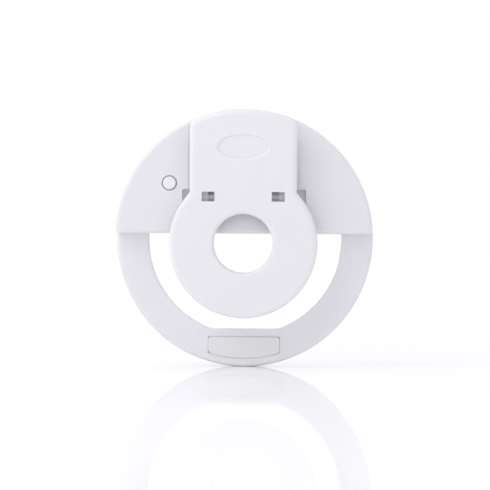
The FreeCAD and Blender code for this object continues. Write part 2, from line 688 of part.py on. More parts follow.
def add_hinge_posts(body):
    root = f"({housing_back} + pocket_depth + post_root)"
    low = "pin_z - post_radius"
    high = "pin_z + post_radius"
    post = Outline(body, "YZ_Plane", "hinge_post_outline", post_inner)
    top = post.arc("post_radius", (f"-{pin_back}", high), (f"-{pin_back}", low), (f"-{pin_back}", "pin_z"))
    low_side = post.line((f"-{pin_back}", low), (root, low))
    foot = post.line((root, low), (root, high))
    high_side = post.line((root, high), (f"-{pin_back}", high))
    post.join((top, 1, 2), (low_side, 1, 2), (foot, 1, 2), (high_side, 1, 2))
    for side in (low_side, high_side):
        post.constrain("Horizontal", side)
    for end in (1, 2):
        post.constrain("Vertical", top, end, top, 3)
    post.constrain("Vertical", foot)
    post.from_origin("DistanceX", foot, 1, root)
    post.circle(f"-{pin_back}", "pin_z", "pin_radius + pin_seat_clearance")
    right = pad(post, "hinge_post", "post_width", "+X")
    mirror(body, "hinge_post_pair", [right])


def add_casing_bosses(body):
    x = f"{screw_circle} * cos(screw_first_angle)"
    z = f"{screw_circle} * sin(screw_first_angle)"
    boss = Outline(body, "XZ_Plane", "boss_outline", "parting_y")
    boss.circle(x, z, "boss_radius")
    column = pad(boss, "boss", f"parting_y - ({chamber_back})", "-Y")
    polar(body, "bosses", [column], boss, "screw_step_angle * (screw_count - 1)", "screw_count")
    pilot = Outline(body, "XZ_Plane", "pilot_outline", "parting_y")
    pilot.circle(x, z, "screw_radius + screw_clearance")
    hole = pocket(pilot, "pilot_hole", "screw_length", "-Y")
    polar(body, "pilot_holes", [hole], pilot, "screw_step_angle * (screw_count - 1)", "screw_count")


def add_board_posts(body):
    columns = Outline(body, "XZ_Plane", "board_post_outline", board_back)
    holes = Outline(body, "XZ_Plane", "board_pilot_outline", board_back)
    for x, z in board_posts:
        columns.circle(x, z, "board_post_radius")
        holes.circle(x, z, "board_screw_radius + screw_clearance")
    pad(columns, "board_posts", f"({board_back}) - ({chamber_back})", "-Y")
    pocket(holes, "board_pilot_holes", "board_screw_length - board_thickness + screw_clearance", "-Y")


def add_battery_ribs(body):
    left = "-battery_width / 2 - guard_thickness - rib_gap - rib_thickness"
    right = "battery_width / 2 + rib_gap"
    ribs = Outline(body, "XZ_Plane", "battery_rib_outline", f"{chamber_back} + rib_height")
    for start in (left, right):
        ribs.rectangle(
            start, f"{battery_bottom} + rib_inset",
            f"{start} + rib_thickness", f"{battery_bottom} + {battery_height} - rib_inset",
        )
    pad(ribs, "battery_ribs", "rib_height", "-Y")


def add_button_hole(body):
    collar = Outline(body, "XZ_Plane", "collar_outline", f"{chamber_back} + collar_depth")
    collar.circle(button_x, button_z, f"{collar_bore} + collar_wall")
    collar.circle(button_x, button_z, collar_bore)
    pad(collar, "button_collar", "collar_depth", "-Y")
    hole = Outline(body, "XZ_Plane", "button_hole_outline", housing_back)
    hole.circle(button_x, button_z, "button_radius + button_clearance")
    pocket(hole, "button_hole", "housing_back_wall", "+Y")

    def hole_rim(p):
        from_button = math.hypot(p.x - value(button_x), p.z - value(button_z))
        return near(p.y, housing_back) and near(from_button, "button_radius + button_clearance")

    fillet(body, "button_hole_rim", "button_hole_rounding", hole_rim)


def add_usb_cutout(body):
    """The charging socket's mouth, cut through the rim from the left."""
    half = "usb_width / 2 + usb_clearance"
    gap = Outline(body, "YZ_Plane", "usb_cutout_outline", "-ring_radius - shell_wall")
    gap.rectangle(
        f"{board_back} - usb_height - usb_clearance", f"usb_z - {half}",
        f"{board_back} + usb_clearance", f"usb_z + {half}",
    )
    inner = f"sqrt({wall_inner_radius} ^ 2 - (usb_z + {half}) ^ 2)"
    pocket(gap, "usb_cutout", f"ring_radius + shell_wall - {inner} + usb_clearance", "+X")


def add_ring_pad_seat(body):
    seat = Outline(body, "XZ_Plane", "ring_pad_seat_outline")
    draw_ring_pad(seat, "seat_clearance")
    pocket(seat, "ring_pad_recess", "ring_pad_seat", "+Y")


def ring_pad_corner_test(margin):
    """A test for the points of the four upright corner edges of the pad or its recess."""
    half = f"(ring_pad_half_width + {margin})"
    low = f"-sqrt(({ring_pad_foot} + {margin}) ^ 2 - {half} ^ 2)"
    top = f"{ring_pad_top} + {margin}"
    return lambda p: near(abs(p.x), half) and (near(p.z, low) or near(p.z, top))


def draw_ring_pad(outline, margin):
    """Level top, upright sides and a lower edge that follows the rim."""
    half = f"(ring_pad_half_width + {margin})"
    radius = f"({ring_pad_foot} + {margin})"
    top = f"({ring_pad_top} + {margin})"
    low = f"-sqrt({radius} ^ 2 - {half} ^ 2)"
    bow = outline.arc(radius, (f"-{half}", low), (half, low))
    right = outline.line((half, low), (half, top))
    edge = outline.line((half, top), (f"-{half}", top))
    left = outline.line((f"-{half}", top), (f"-{half}", low))
    outline.join((bow, 1, 2), (right, 1, 2), (edge, 1, 2), (left, 1, 2))
    for side in (left, right):
        outline.constrain("Vertical", side)
    outline.level(edge, top)
    outline.from_origin("DistanceX", right, 1, half)
    outline.from_origin("DistanceX", left, 1, f"-{half}")


def build_front_shell():
    """Front casing: the web, the half-moon plate and both walls of the lamp channel."""
    body = new_body("front_shell")

    web = Outline(body, "XZ_Plane", "web_outline", "parting_y")
    web.circle("0", "0", "ring_radius")
    web.window(opening_radius, "housing_edge_z + stop_step", opening_flat)
    pad(web, "web", "web_thickness", "+Y")

    walls = Outline(body, "XZ_Plane", "wall_outline", web_front)
    walls.circle("0", "0", "ring_radius")
    walls.window(opening_radius, "", opening_flat)
    pad(walls, "walls", f"rim_y - {web_front}", "+Y")

    mouth = Outline(body, "XZ_Plane", "diffuser_mouth_outline", "rim_y")
    mouth.circle("0", "0", wall_inner_radius)
    mouth.circle("0", "0", wall_outer_radius)
    pocket(mouth, "diffuser_mouth", f"rim_y - {diffuser_seat}", "-Y")

    channel = Outline(body, "XZ_Plane", "lamp_channel_outline", diffuser_seat)
    channel.circle("0", "0", f"{wall_inner_radius} - ledge_width")
    channel.circle("0", "0", f"{wall_outer_radius} + ledge_width")
    pocket(channel, "lamp_channel", f"{diffuser_seat} - {web_front}", "-Y")

    def rim_edge(p):
        return near(p.y, "rim_y") and near(from_axis(p), "ring_radius")

    def opening_edge(p):
        inside = near(from_axis(p), opening_radius) or near(p.z, f"-{opening_flat}")
        return near(p.y, "rim_y") and inside

    fillet(body, "rim_rounding", "shell_rounding", rim_edge)
    fillet(body, "opening_rounding_front", "opening_rounding", opening_edge)
    add_lip(body)
    add_screw_holes(body)

    leads = Outline(body, "XZ_Plane", "lead_hole_outline", web_front)
    leads.circle(
        f"{led_circle} * cos(lead_hole_angle)", f"{led_circle} * sin(lead_hole_angle)",
        "lead_hole_radius",
    )
    pocket(leads, "lead_hole", "web_thickness", "-Y")


def add_lip(body):
    """A lip on the lower half that seats inside the back casing's wall."""
    outer = f"({wall_inner_radius} - lip_clearance)"
    inner = f"({outer} - lip_thickness)"
    lip = Outline(body, "XZ_Plane", "lip_outline", "parting_y")
    lip.horseshoe(outer, inner, "0")
    pad(lip, "locating_lip", "lip_depth", "-Y")


def add_screw_holes(body):
    x = f"{screw_circle} * cos(screw_first_angle)"
    z = f"{screw_circle} * sin(screw_first_angle)"
    span = "screw_step_angle * (screw_count - 1)"
    through = Outline(body, "XZ_Plane", "screw_hole_outline", web_front)
    through.circle(x, z, "screw_radius + screw_head_clearance")
    hole = pocket(through, "screw_hole", "web_thickness", "-Y")
    polar(body, "screw_holes", [hole], through, span, "screw_count")
    sink = Outline(body, "XZ_Plane", "counterbore_outline", web_front)
    sink.circle(x, z, "screw_head_radius + screw_head_clearance")
    bore = pocket(sink, "counterbore", "screw_head_height + screw_clearance", "-Y")
    polar(body, "counterbores", [bore], sink, span, "screw_count")


def build_screws(label, under_head, radius, length, head_radius, head_height, places):
    """Pan-head screws that point backwards, each with a cross recess."""
    screws = []
    for number, (x, z) in enumerate(places, start=1):
        shank = rod(f"{label}_shank_{number}", x, f"{under_head} - {length}", z, radius, length)
        head = rod(f"{label}_head_{number}", x, under_head, z, head_radius, head_height)
        solid = fuse(f"{label}_blank_{number}", [shank, head])
        slots = []
        recess_back = f"{under_head} + {head_height} - cross_depth"
        for width, height in (("cross_length", "cross_width"), ("cross_width", "cross_length")):
            slots.append(block(
                f"{label}_{width}_{number}", f"{x} - {width} / 2", recess_back, f"{z} - {height} / 2",
                width, "cross_depth", height,
            ))
        screws.append(cut(f"{label}_{number}", solid, fuse(f"{label}_cross_{number}", slots)))
    group(label, screws)


def build_casing_screws():
    places = []
    for number in range(round(value("screw_count"))):
        angle = f"(screw_first_angle + screw_step_angle * {number})"
        places.append((f"{screw_circle} * cos({angle})", f"{screw_circle} * sin({angle})"))
    under_head = f"({web_front} - screw_head_height)"
    length = "(screw_length + web_thickness - screw_head_height - screw_clearance)"
    build_screws(
        "casing_screws", under_head, "screw_radius", length, "screw_head_radius", "screw_head_height", places,
    )


def build_board_screws():
    build_screws(
        "board_screws", "-board_gap", "board_screw_radius", "board_screw_length",
        "board_screw_head_radius", "board_screw_head_height", board_posts,
    )


def build_light_diffuser():
    """Crowned clear ring that lies on the ledges of the lamp channel."""
    body = new_body("light_diffuser")
    inner = f"({wall_outer_radius} + diffuser_clearance)"
    outer = f"({wall_inner_radius} - diffuser_clearance)"
    profile = Outline(body, "XY_Plane", "diffuser_profile")
    points = [(inner, diffuser_seat), (outer, diffuser_seat), (outer, "rim_y"), (inner, "rim_y")]
    base = profile.line(points[0], points[1])
    right = profile.line(points[1], points[2])
    left = profile.line(points[3], points[0])
    sketch = profile.sketch
    start, end = [FreeCAD.Vector(value(x), value(y), 0) for x, y in points[2:]]
    middle = (start + end) / 2 + FreeCAD.Vector(0, value("diffuser_crown"), 0)
    curve = Part.Arc(start, middle, end).toShape().Curve
    crown = sketch.addGeometry(Part.ArcOfCircle(curve, *arc_span(curve.Center, start, end)))
    for line, corner in ((base, 0), (right, 1), (left, 3)):
        profile.place_point(line, 1, *points[corner])
    profile.constrain("Coincident", base, 2, right, 1)
    profile.constrain("Coincident", left, 2, base, 1)
    profile.place_point(right, 2, *points[2])
    profile.constrain("Coincident", crown, 1, right, 2)
    profile.constrain("Coincident", crown, 2, left, 1)
    width = f"({outer} - {inner})"
    profile.measure("Radius", crown, size=f"({width} ^ 2 / 4 + diffuser_crown ^ 2) / (2 * diffuser_crown)")
    revolve(profile, "diffuser_ring")


def arc_span(centre, start, end):
    """First and last angle of the anticlockwise arc between two points."""
    first, last = [math.atan2(point.y - centre.y, point.x - centre.x) for point in (start, end)]
    return first, last if last > first else last + 2 * math.pi


def build_led_board():
    body = new_body("led_board")
    ring = Outline(body, "XZ_Plane", "led_board_outline", web_front)
    ring.circle("0", "0", led_board_outer)
    ring.circle("0", "0", led_board_inner)
    pad(ring, "led_board_plate", "led_board_thickness", "+Y")


def build_ring_of_blocks(label, turn, width, length, height, count):
    """Equal small blocks on the lamp board, one solid each, round the ring's axis."""
    body = new_body(label)
    first = Outline(body, "XZ_Plane", f"{label}_outline", f"{web_front} + led_board_thickness")
    sine = f"sin({turn})"
    cosine = f"cos({turn})"
    corners = []
    for across, along in ((-1, -1), (1, -1), (1, 1), (-1, 1)):
        out = f"({led_circle} + {along} * {length} / 2)"
        side = f"({across} * {width} / 2)"
        corners.append((f"{out} * {sine} + {side} * {cosine}", f"{out} * {cosine} - {side} * {sine}"))
    first.polygon(*corners)
    chip = pad(first, f"{label}_first", height, "+Y")
    polar(body, f"{label}_all", [chip], first, "360", count)


def build_led_chips():
    build_ring_of_blocks("led_chips", "180 / led_count", "led_width", "led_length", "led_height", "led_count")


def build_led_resistors():
    build_ring_of_blocks(
        "led_resistors", "360 / led_count",
        "resistor_length", "resistor_width", "resistor_height", "resistor_count",
    )


def build_main_board():
    """Control board in the left of the housing, with a curved edge that follows the rim."""
    body = new_body("main_board")
    board = Outline(body, "XZ_Plane", "main_board_outline", "-board_gap")
    low_left = (f"-sqrt({board_radius} ^ 2 - {board_bottom_z} ^ 2)", board_bottom_z)
    high_left = (f"-sqrt({board_radius} ^ 2 - {board_top_z} ^ 2)", board_top_z)
    low_right = (board_right_x, board_bottom_z)
    high_right = (board_right_x, board_top_z)
    bow = board.arc(board_radius, high_left, low_left)
    bottom = board.line(low_left, low_right)
    side = board.line(low_right, high_right)
    top = board.line(high_right, high_left)
    board.join((bow, 1, 2), (bottom, 1, 2), (side, 1, 2), (top, 1, 2))
    board.level(bottom, board_bottom_z)
    board.level(top, board_top_z)
    board.constrain("Vertical", side)
    board.from_origin("DistanceX", side, 1, board_right_x)
    pad(board, "board_plate", "board_thickness", "-Y")
    holes = Outline(body, "XZ_Plane", "board_holes_outline", "-board_gap")
    for x, z in board_posts:
        holes.circle(x, z, "board_screw_radius + screw_clearance")
    pocket(holes, "board_holes", "board_thickness", "-Y")


def build_switch():
    """Push switch behind the power button: a square housing with a bore, and its plunger."""
    half = "switch_side / 2"
    case = block(
        "switch_case", f"{button_x} - {half}", f"{board_back} - switch_height", f"{button_z} - {half}",
        "switch_side", "switch_height", "switch_side",
    )
    bore = rod(
        "switch_bore", button_x, plunger_tip, button_z,
        "plunger_radius + plunger_clearance", "plunger_rise + plunger_bore",
    )
    cut("switch_housing", case, bore)
    length = "plunger_rise + plunger_inside"
    rod("switch_plunger", button_x, plunger_tip, button_z, "plunger_radius", length)


def build_button_cap():
    """Round cap with a rounded edge, a keeper flange and a stem that meets the plunger."""
    body = new_body("button_cap")
    flange_back = f"({chamber_back} + button_flange_gap)"
    flange_front = f"({flange_back} + button_flange_thickness)"
    crown = f"({housing_back} - button_proud)"
    stem_end = f"({plunger_tip} - button_play)"
    profile = Outline(body, "XY_Plane", "button_profile")
    corners = [
        ("0", crown), ("button_radius", crown),
        ("button_radius", flange_back), ("button_flange_radius", flange_back),
        ("button_flange_radius", flange_front), ("button_stem_radius", flange_front),
        ("button_stem_radius", stem_end), ("0", stem_end),
    ]
    profile.polygon(*corners)
    revolve(profile, "button_turned")

    def cap_edge(p):
        return near(p.y, crown) and near(from_axis(p), "button_radius")

    fillet(body, "button_edge", "button_rounding", cap_edge)
    bind(body, "Placement.Base.x", button_x)
    bind(body, "Placement.Base.z", button_z)


def build_usb_socket():
    """Charging socket: a folded metal shell with an insulating tongue inside."""
    half = "usb_width / 2"
    back = f"{board_back} - usb_height"
    outside = block(
        "usb_blank", usb_mouth, back, f"usb_z - {half}", "usb_length", "usb_height", "usb_width",
    )
    inside = block(
        "usb_hollow", f"{usb_mouth} - usb_sheet", f"{back} + usb_sheet", f"usb_z - {half} + usb_sheet",
        "usb_length", "usb_height - 2 * usb_sheet", "usb_width - 2 * usb_sheet",
    )
    cut("usb_socket_shell", outside, inside)
    block(
        "usb_contact_tongue", f"{usb_mouth} + tongue_recess", f"{back} + (usb_height - tongue_thickness) / 2",
        "usb_z - tongue_width / 2",
        "usb_length - usb_sheet - tongue_recess", "tongue_thickness", "tongue_width",
    )


def build_board_parts():
    """Controller chip, charge lamp and the few larger passive parts, on the board's back."""
    chip_x = f"({usb_mouth} + usb_length + part_gap)"
    chip_z = "(usb_z - chip_width / 2)"
    case = board_block("chip_case", chip_x, chip_z, "chip_length", "chip_width", "chip_height")
    pieces = [case]
    for number in range(round(value("chip_leg_count"))):
        place = f"({number} - (chip_leg_count - 1) / 2) * chip_leg_pitch"
        x = f"{chip_x} + chip_length / 2 + {place} - chip_leg_width / 2"
        for side, z in (("low", f"{chip_z} - chip_leg_length"), ("high", f"{chip_z} + chip_width")):
            pieces.append(board_block(
                f"chip_leg_{side}_{number}", x, z, "chip_leg_width", "chip_leg_length", "chip_leg_height",
            ))
    fuse("controller_chip", pieces)

    lamp_x = f"{chip_x} - 2 * part_gap - lamp_width"
    lamp_z = "usb_z + usb_width / 2 + part_gap"
    board_block("charge_lamp", lamp_x, lamp_z, "lamp_width", "lamp_length", "lamp_height")

    row_z = f"({chip_z} + chip_width + chip_leg_length + part_gap)"
    passives = [board_block("inductor", chip_x, row_z, "inductor_side", "inductor_side", "inductor_height")]
    for number in range(round(value("small_part_count"))):
        passives.append(board_block(
            f"small_part_{number}", f"{chip_x} + inductor_side + part_gap",
            f"{row_z} + {number} * (small_part_width + part_gap)",
            "small_part_length", "small_part_width", "small_part_height",
        ))
    passives.append(board_block(
        "diode", f"{low_post[0]} - diode_length / 2", f"{low_post[1]} + board_post_radius + part_gap",
        "diode_length", "diode_width", "diode_height",
    ))
    group("board_passives", passives)


def board_block(name, x, z, length, width, height):
    """A block soldered to the back of the main board."""
    return block(name, x, f"{board_back} - {height}", z, length, height, width)


def build_battery():
    """Flat pouch cell on foam tape, with its protection board at the left end."""
    body = new_body("battery_cell")
    front = f"({battery_back} + battery_thickness)"
    outline = Outline(body, "XZ_Plane", "battery_outline", front)
    top = f"{battery_bottom} + {battery_height}"
    outline.rectangle("-battery_width / 2", battery_bottom, "battery_width / 2", top)
    pad(outline, "battery_block", "battery_thickness", "-Y")

    def long_edge(p):
        level = near(p.z, battery_bottom) or near(p.z, top)
        return level and (near(p.y, front) or near(p.y, battery_back))

    fillet(body, "battery_fold", "battery_rounding", long_edge)
    block(
        "battery_tape", "-battery_width / 2 + tape_margin", chamber_back, f"{battery_bottom} + tape_margin",
        "battery_width - 2 * tape_margin", "tape_thickness", f"{battery_height} - 2 * tape_margin",
    )
    block(
        "battery_guard_board", "-battery_width / 2 - guard_thickness", f"{battery_back} + guard_thickness",
        f"{battery_bottom} + guard_margin",
        "guard_thickness", "battery_thickness - 2 * guard_thickness", f"{battery_height} - 2 * guard_margin",
    )


def lead_solid(points, radius):
    """A round lead along straight runs joined by tangent arcs."""
    bend_share = 0.45
    runs = [(b - a).Length for a, b in zip(points, points[1:])]
    bends = []
    edges = []
    start = points[0]
    for i in range(1, len(points) - 1):
        before = (points[i] - points[i - 1]).normalize()
        after = (points[i + 1] - points[i]).normalize()
        turn = before.getAngle(after)
        reach = bend_share * min(runs[i - 1], runs[i])
        bend = reach / math.tan(turn / 2)
        bends.append(round(bend, 2))
        first = points[i] - before * reach
        last = points[i] + after * reach
        inward = (after - before).normalize()
        centre = points[i] + inward * (bend / math.cos(turn / 2))
        middle = centre - inward * bend
        edges.append(Part.LineSegment(start, first).toShape())
        edges.append(Part.Arc(first, middle, last).toShape())
        start = last
    edges.append(Part.LineSegment(start, points[-1]).toShape())
    path = Part.Wire(edges)
    section = Part.Wire(Part.Circle(points[0], points[1] - points[0], radius).toShape())
    solid = path.makePipeShell([section], True, False)
    expected = math.pi * radius ** 2 * path.Length
    print(f"lead {path.Length:.1f} mm, bend radii {bends}")
    print(f"lead volume {solid.Volume:.2f}, section x length {expected:.2f}")
    return solid


def build_battery_leads():
    """Two leads from the cell's protection board, over its rib, to the back of the main board."""
    radius = value("lead_radius")
    start = FreeCAD.Vector(
        value("-battery_width / 2 - guard_thickness"),
        value(f"{chamber_back} + rib_height + rib_gap + lead_radius"),
        value(battery_middle_z),
    )
    end = FreeCAD.Vector(
        value(f"{high_post[0]} + board_post_radius + lead_radius + lead_gap"), value(board_back),
        value(f"{high_post[1]} + lead_radius + lead_gap"),
    )
    leads = []
    for side in (-0.5, 0.5):
        beside = FreeCAD.Vector(0, 0, side * value("lead_spacing"))
        leads.append(lead_solid([
            start + beside,
            start + beside + FreeCAD.Vector(-3.6, 0, 0),
            start + beside + FreeCAD.Vector(-7.8, -0.3, -2.3),
            end + beside + FreeCAD.Vector(2.8, -2.75, 2.7),
            end + beside + FreeCAD.Vector(0, -2.75, 0),
            end + beside,
        ], radius))
    place_shape("battery_leads", leads)


def build_led_leads():
    """Two short leads straight from the main board to the lamp board."""
    angle = math.radians(value("lead_hole_angle"))
    x = value(led_circle) * math.cos(angle)
    z = value(led_circle) * math.sin(angle)
    leads = []
    for side in (-0.5, 0.5):
        height = z + side * value("lead_spacing")
        back = FreeCAD.Vector(x, value("-board_gap"), height)
        front = FreeCAD.Vector(x, value(web_front), height)
        leads.append(lead_solid([back, front], value("lead_radius")))
    place_shape("led_leads", leads)


def place_shape(label, solids):
    item = doc.addObject("Part::Feature", label)
    item.Shape = Part.makeCompound(solids) if len(solids) > 1 else solids[0]
    return item


def build_hinge_pin():
    pin = doc.addObject("Part::Cylinder", "hinge_pin_bar")
    pin.Placement = FreeCAD.Placement(FreeCAD.Vector(0, 0, 0), FreeCAD.Rotation(FreeCAD.Vector(0, 1, 0), 90))
    bind(pin, "Radius", "pin_radius")
    bind(pin, "Height", pin_length)
    bind(pin, "Placement.Base.x", f"-{pin_length} / 2")
    bind(pin, "Placement.Base.y", f"-{pin_back}")
    bind(pin, "Placement.Base.z", "pin_z")
    ends = doc.addObject("Part::Chamfer", "hinge_pin")
    ends.Base = pin
    doc.recompute()
    bevel = value("pin_chamfer")
    rims = [i for i, edge in enumerate(pin.Shape.Edges, start=1) if isinstance(edge.Curve, Part.Circle)]
    ends.Edges = [(rim, bevel, bevel) for rim in rims]


def build_clip_lever():
    """One-piece clip: round foot with a camera hole, thumb tab and two hinge ears."""
    body = new_body("clip_lever")
    disc = Outline(body, "XZ_Plane", "disc_outline", clip_inner)
    disc.circle("0", "disc_z", "disc_radius")
    pad(disc, "round_foot", "clip_thickness", "-Y")

    tab = Outline(body, "XZ_Plane", "tab_outline", clip_inner)
    top_z = f"sqrt({tab_top} ^ 2 - {tab_half} ^ 2)"
    bow = tab.arc(tab_top, (tab_half, top_z), (f"-{tab_half}", top_z))
    left = tab.line((f"-{tab_half}", top_z), (f"-{tab_half}", "disc_z"))
    base = tab.line((f"-{tab_half}", "disc_z"), (tab_half, "disc_z"))
    right = tab.line((tab_half, "disc_z"), (tab_half, top_z))
    tab.join((bow, 1, 2), (left, 1, 2), (base, 1, 2), (right, 1, 2))
    for side in (left, right):
        tab.constrain("Vertical", side)
    tab.level(base, "disc_z")
    tab.from_origin("DistanceX", right, 1, tab_half)
    tab.from_origin("DistanceX", left, 1, f"-{tab_half}")
    pad(tab, "thumb_tab", "clip_thickness", "-Y")

    def neck_corner(p):
        neck_z = f"disc_z + sqrt(disc_radius ^ 2 - {tab_half} ^ 2)"
        return near(abs(p.x), tab_half) and near(p.z, neck_z)

    def tab_corner(p):
        return near(abs(p.x), tab_half) and near(p.z, top_z)

    def in_hole(p):
        return math.hypot(p.x, p.z - value("disc_z")) < value("(lens_hole_radius + disc_radius) / 2")

    fillet(body, "neck", "neck_radius", neck_corner)
    fillet(body, "tab_corners", "tab_corner", tab_corner)

    hole = Outline(body, "XZ_Plane", "lens_hole_outline", clip_outer)
    hole.circle("0", "disc_z + lens_hole_rise", "lens_hole_radius")
    pocket(hole, "lens_hole", "clip_thickness", "+Y")
    fillet(body, "outer_rounding", "clip_rounding", lambda p: near(p.y, clip_outer) and not in_hole(p))
    fillet(body, "lens_rounding", "lens_hole_rounding", lambda p: near(p.y, clip_outer) and in_hole(p))
    fillet(body, "inner_rounding", "clip_inner_rounding", lambda p: near(p.y, clip_inner))

    slots = Outline(body, "XZ_Plane", "slots_outline", clip_outer)
    for side in ("", "-"):
        slots.rectangle(
            f"{side}{slot_x} - slot_width / 2", f"{slot_z} - slot_height / 2",
            f"{side}{slot_x} + slot_width / 2", f"{slot_z} + slot_height / 2",
        )
    pocket(slots, "slots", "clip_thickness", "+Y")

    oval = Outline(body, "XZ_Plane", "oval_outline", clip_outer)
    oval.ellipse("0", "oval_z", "oval_half_width", "oval_half_height")
    pocket(oval, "oval_recess", "oval_depth", "+Y")

    def oval_rim(p):
        beyond = value("max(oval_half_width; oval_half_height)") + 0.01
        return near(p.y, clip_outer) and math.hypot(p.x, p.z - value("oval_z")) < beyond

    fillet(body, "oval_rim_rounding", "oval_rounding", oval_rim)

    seat = Outline(body, "XZ_Plane", "pad_seat_outline", clip_inner)
    draw_clip_pad(seat, "seat_clearance")
    pocket(seat, "pad_seat", "clip_pad_seat", "-Y")

    add_ears(body)
    lean(body)


def add_ears(body):
    """Ears with a rib up the tab, a rib down the plate and a heel that rests on the housing."""
    gusset = Outline(body, "YZ_Plane", "gusset_outline", ear_inner_x)
    gusset.polygon(
        (f"{clip_inner} - ear_root", "pin_z + gusset_rise"),
        (clip_inner, "pin_z + gusset_rise"),
        (f"-{pin_back} + gusset_front", "pin_z + gusset_half_height"),
        (f"-{pin_back} + gusset_front", "pin_z - gusset_half_height"),
        (clip_inner, f"pin_z - {gusset_drop}"),
        (f"{clip_inner} - ear_root", f"pin_z - {gusset_drop}"),
    )
    plates = pad(gusset, "gusset", "ear_width", "+X")
    knuckle = Outline(body, "YZ_Plane", "knuckle_outline", ear_inner_x)
    knuckle.circle(f"-{pin_back}", "pin_z", "ear_radius")
    rounds = pad(knuckle, "knuckle", "ear_width", "+X")
    # The heel's centre is placed so that, once leaned, its face is one gap off the housing.
    face = f"({pin_back} - housing_depth - heel_gap - heel_radius)"
    heel_y = f"(-{pin_back} + ({face} - {heel_drop} * sin(clip_tilt)) / cos(clip_tilt))"
    heel = Outline(body, "YZ_Plane", "heel_outline", ear_inner_x)
    heel.polygon(
        (f"{clip_inner} - ear_root", f"pin_z - {heel_drop} - heel_radius"),
        (heel_y, f"pin_z - {heel_drop} - heel_radius"),
        (heel_y, f"pin_z - {heel_drop} + heel_radius"),
        (f"{clip_inner} - ear_root", f"pin_z - {heel_drop} + heel_radius"),
    )
    bars = pad(heel, "heel_bar", "ear_width", "+X")
    nose = Outline(body, "YZ_Plane", "heel_nose_outline", ear_inner_x)
    nose.circle(heel_y, f"pin_z - {heel_drop}", "heel_radius")
    noses = pad(nose, "heel_nose", "ear_width", "+X")
    mirror(body, "ear_pair", [plates, rounds, bars, noses])
    bore = Outline(body, "YZ_Plane", "ear_bore_outline", f"-{tab_half}")
    bore.circle(f"-{pin_back}", "pin_z", "pin_radius + pin_running_clearance")
    pocket(bore, "ear_bore", f"2 * {tab_half}", "+X")


def draw_clip_pad(outline, margin):
    outline.horseshoe(
        f"({clip_pad_outer} + {margin})", f"({clip_pad_inner} - {margin})",
        f"({clip_pad_top} + {margin})", "disc_z",
    )


def build_clip_pad():
    """Soft horseshoe that grips the phone, seated in the clip's round foot below the hinge."""
    body = new_body("clip_pad")
    outline = Outline(body, "XZ_Plane", "clip_pad_outline", pad_floor)
    draw_clip_pad(outline, "0")
    pad(outline, "clip_pad_block", "clip_pad_thickness", "+Y")
    face = f"{pad_floor} + clip_pad_thickness"
    fillet(body, "clip_pad_edges", "clip_pad_rounding", lambda p: near(p.y, face))
    lean(body)


def build_ring_pad():
    """Soft pad let into the foot of the ring's back."""
    body = new_body("ring_pad")
    outline = Outline(body, "XZ_Plane", "ring_pad_outline", "ring_pad_seat")
    draw_ring_pad(outline, "0")
    pad(outline, "ring_pad_block", "ring_pad_seat + ring_pad_proud", "-Y")
    fillet(body, "ring_pad_corners", "ring_pad_corner", ring_pad_corner_test("0"))


def build_clip_spring():
    """Torsion spring round the pin: a fixed leg on the housing and a leg that pushes the tab."""
    wire = value("spring_wire_radius")
    coil = value("pin_radius + spring_play + spring_wire_radius")
    pitch = value("2 * spring_wire_radius + spring_turn_gap")
    turns = round(value("spring_turns"))
    pin = FreeCAD.Vector(0, value(f"-{pin_back}"), value("pin_z"))
    tilt = math.radians(value("clip_tilt"))
    reach = value("spring_moving_leg")
    spread = math.asin((value("clip_standoff - spring_leg_gap") - wire - coil) / reach)
    # Angles run from the front of the coil, down, round the back and up to the moving leg.
    last_angle = 360 * turns + 180 - math.degrees(tilt + spread)
    steps = math.ceil(last_angle / 90)
    length = pitch * last_angle / 360

    def on_coil(angle):
        turn = math.radians(angle)
        x = pitch * angle / 360 - length / 2
        return pin + FreeCAD.Vector(x, coil * math.cos(turn), -coil * math.sin(turn))

    def direction(angle):
        turn = math.radians(angle)
        rise = pitch / (2 * math.pi)
        return FreeCAD.Vector(rise, -coil * math.sin(turn), -coil * math.cos(turn)).normalize()

    start = on_coil(0)
    end = on_coil(last_angle)
    fixed_way = direction(0)
    moving_way = direction(last_angle)
    edges = [Part.LineSegment(start - fixed_way * value("spring_fixed_leg"), start).toShape()]
    samples = [start - fixed_way * (value("spring_fixed_leg") * i / 30) for i in range(30, 0, -1)]
    for step in range(steps):
        a, b = last_angle * step / steps, last_angle * (step + 1) / steps
        edges.extend(biarc(on_coil(a), direction(a), on_coil(b), direction(b)))
        samples.extend(on_coil(a + (b - a) * i / 12) for i in range(12))
    edges.append(Part.LineSegment(end, end + moving_way * reach).toShape())
    samples.extend(end + moving_way * (reach * i / 30) for i in range(31))
    path = Part.Wire(edges)
    section = Part.Wire(Part.Circle(path.Vertexes[0].Point, fixed_way, wire).toShape())
    solid = path.makePipeShell([section], True, False)
    apart = least_gap(samples, 4 * coil, 2 * wire)
    expected = math.pi * wire ** 2 * path.Length
    print(f"spring {turns} turns, least gap to itself {apart:.2f} mm")
    print(f"spring volume {solid.Volume:.2f}, section x length {expected:.2f}")
    place_shape("clip_spring", [solid])


def biarc(start, start_way, end, end_way):
    """Two tangent arcs from one point and direction to another."""
    gap = end - start
    both = start_way + end_way
    a = 2 * (1 - start_way.dot(end_way))
    b = 2 * gap.dot(both)
    c = -gap.dot(gap)
    reach = -c / b if abs(a) < 1e-9 else (-b + math.sqrt(b * b - 4 * a * c)) / (2 * a)
    first = start + start_way * reach
    last = end - end_way * reach
    joint = (first + last) / 2
    arcs = []
    for p, corner, q in ((start, first, joint), (joint, last, end)):
        chord = (p + q) / 2
        half = (q - p).Length / 2
        height = (corner - chord).Length
        sagitta = half * math.tan(math.atan2(height, half) / 2)
        middle = chord + (corner - chord).normalize() * sagitta
        arcs.append(Part.Arc(p, middle, q).toShape())
    return arcs


